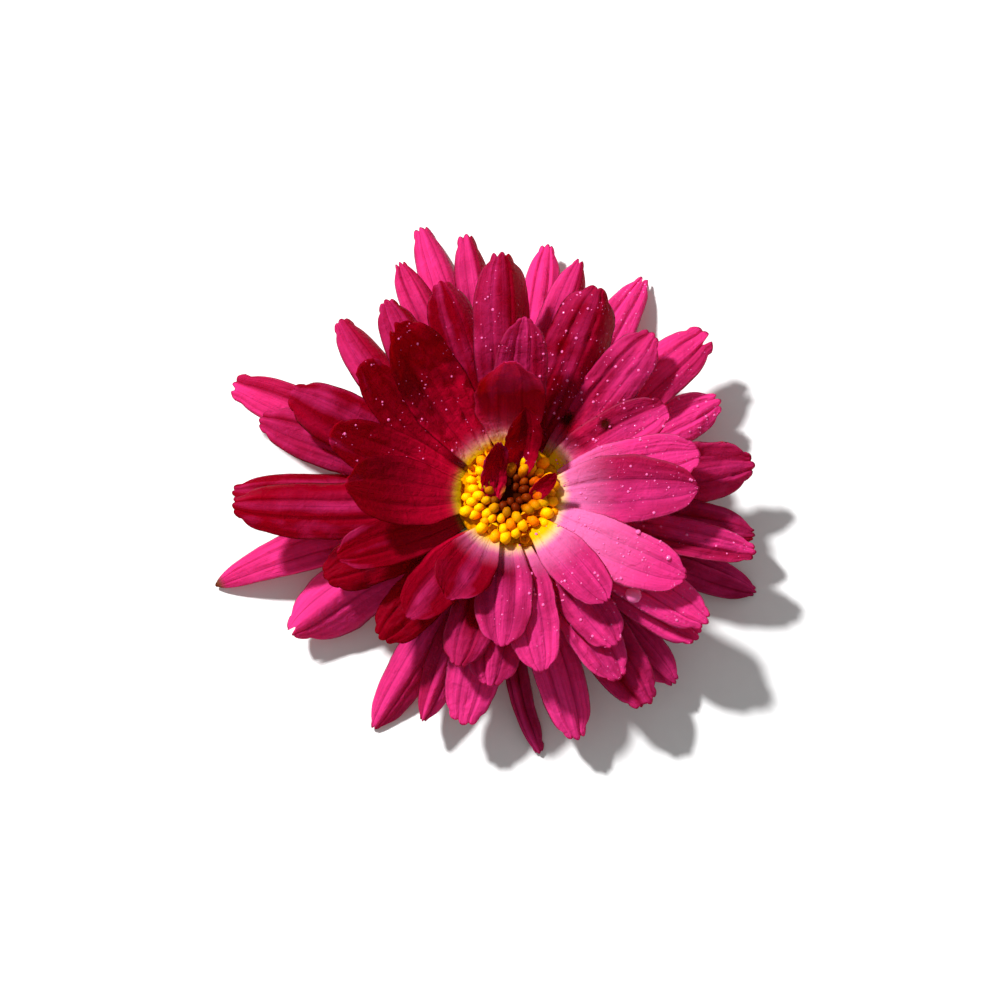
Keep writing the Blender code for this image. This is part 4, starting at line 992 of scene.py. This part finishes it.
def placeCamera():
    plan = cameraPlan
    tilt = math.radians(plan["elevation"])
    back = Vector((0, -math.cos(tilt), math.sin(tilt)))
    aim = (Vector(plan["aim"]) + Vector((0, math.sin(tilt), math.cos(tilt))) * plan["aimUp"]) * mm
    data = bpy.data.cameras.new("photo camera")
    data.lens = plan["lens"]
    data.sensor_width = 36.0
    data.clip_start = 0.01
    camera = bpy.data.objects.new("photo camera", data)
    scene.collection.objects.link(camera)
    camera.location = aim + back * plan["distance"]
    camera.rotation_euler = (-back).to_track_quat("-Z", "Y").to_euler()
    scene.camera = camera


# Light: one lamp from the upper left, small enough for soft-edged petal shadows, and a pale room.
lightPlan = {"toLight": (-0.5, 0.5, 0.76), "aimHeight": 12.0, "distance": 0.8, "size": 0.08, "power": 14.4,
             "room": 0.46}


def placeLight():
    plan = lightPlan
    data = bpy.data.lights.new("key lamp", "AREA")
    data.shape = "DISK"
    data.size = plan["size"]
    data.energy = plan["power"]
    lamp = bpy.data.objects.new("key lamp", data)
    scene.collection.objects.link(lamp)
    toLight = Vector(plan["toLight"]).normalized()
    lamp.location = axis + Vector((0, 0, plan["aimHeight"])) * mm + toLight * plan["distance"]
    lamp.rotation_euler = (-toLight).to_track_quat("-Z", "Y").to_euler()
    world = bpy.data.worlds.new("pale room")
    world.use_nodes = True
    world.node_tree.nodes["Background"].inputs["Color"].default_value = (1, 1, 1, 1)
    world.node_tree.nodes["Background"].inputs["Strength"].default_value = plan["room"]
    scene.world = world


# Floor: matt white painted board, with the faint grain of a roller.
floorPlan = {"size": 3.0, "dark": 0.62, "pale": 0.66, "roughness": 0.8, "grainSize": 1.5, "grainDepth": 0.05}


def makeFloor():
    plan = floorPlan
    material, tree, output = newMaterial("matt painted board")
    here = addNode(tree, "ShaderNodeTexCoord").outputs["Object"]
    grain = addNode(tree, "ShaderNodeTexNoise", {"Vector": here, "Scale": 1 / (plan["grainSize"] * mm), "Detail": 2.0})
    tint = chain(tree, maths, grain, ("range", 0.0, 1.0, plan["dark"], plan["pale"]))
    bump = addNode(tree, "ShaderNodeBump", {"Height": grain, "Strength": 0.1, "Distance": plan["grainDepth"] * mm})
    paint = addNode(tree, "ShaderNodeBsdfPrincipled", {"Base Color": tint, "Roughness": plan["roughness"],
                                                       "Normal": bump})
    tree.links.new(paint.outputs[0], output.inputs["Surface"])
    bm = bmesh.new()
    bmesh.ops.create_grid(bm, x_segments=1, y_segments=1, size=plan["size"])
    mesh = bpy.data.meshes.new("floor")
    bm.to_mesh(mesh)
    bm.free()
    mesh.materials.append(material)
    floor = bpy.data.objects.new("floor", mesh)
    scene.collection.objects.link(floor)


placeCamera()
placeLight()
makeFloor()
scene.view_settings.view_transform = "Standard"
print("camera, light and floor placed")
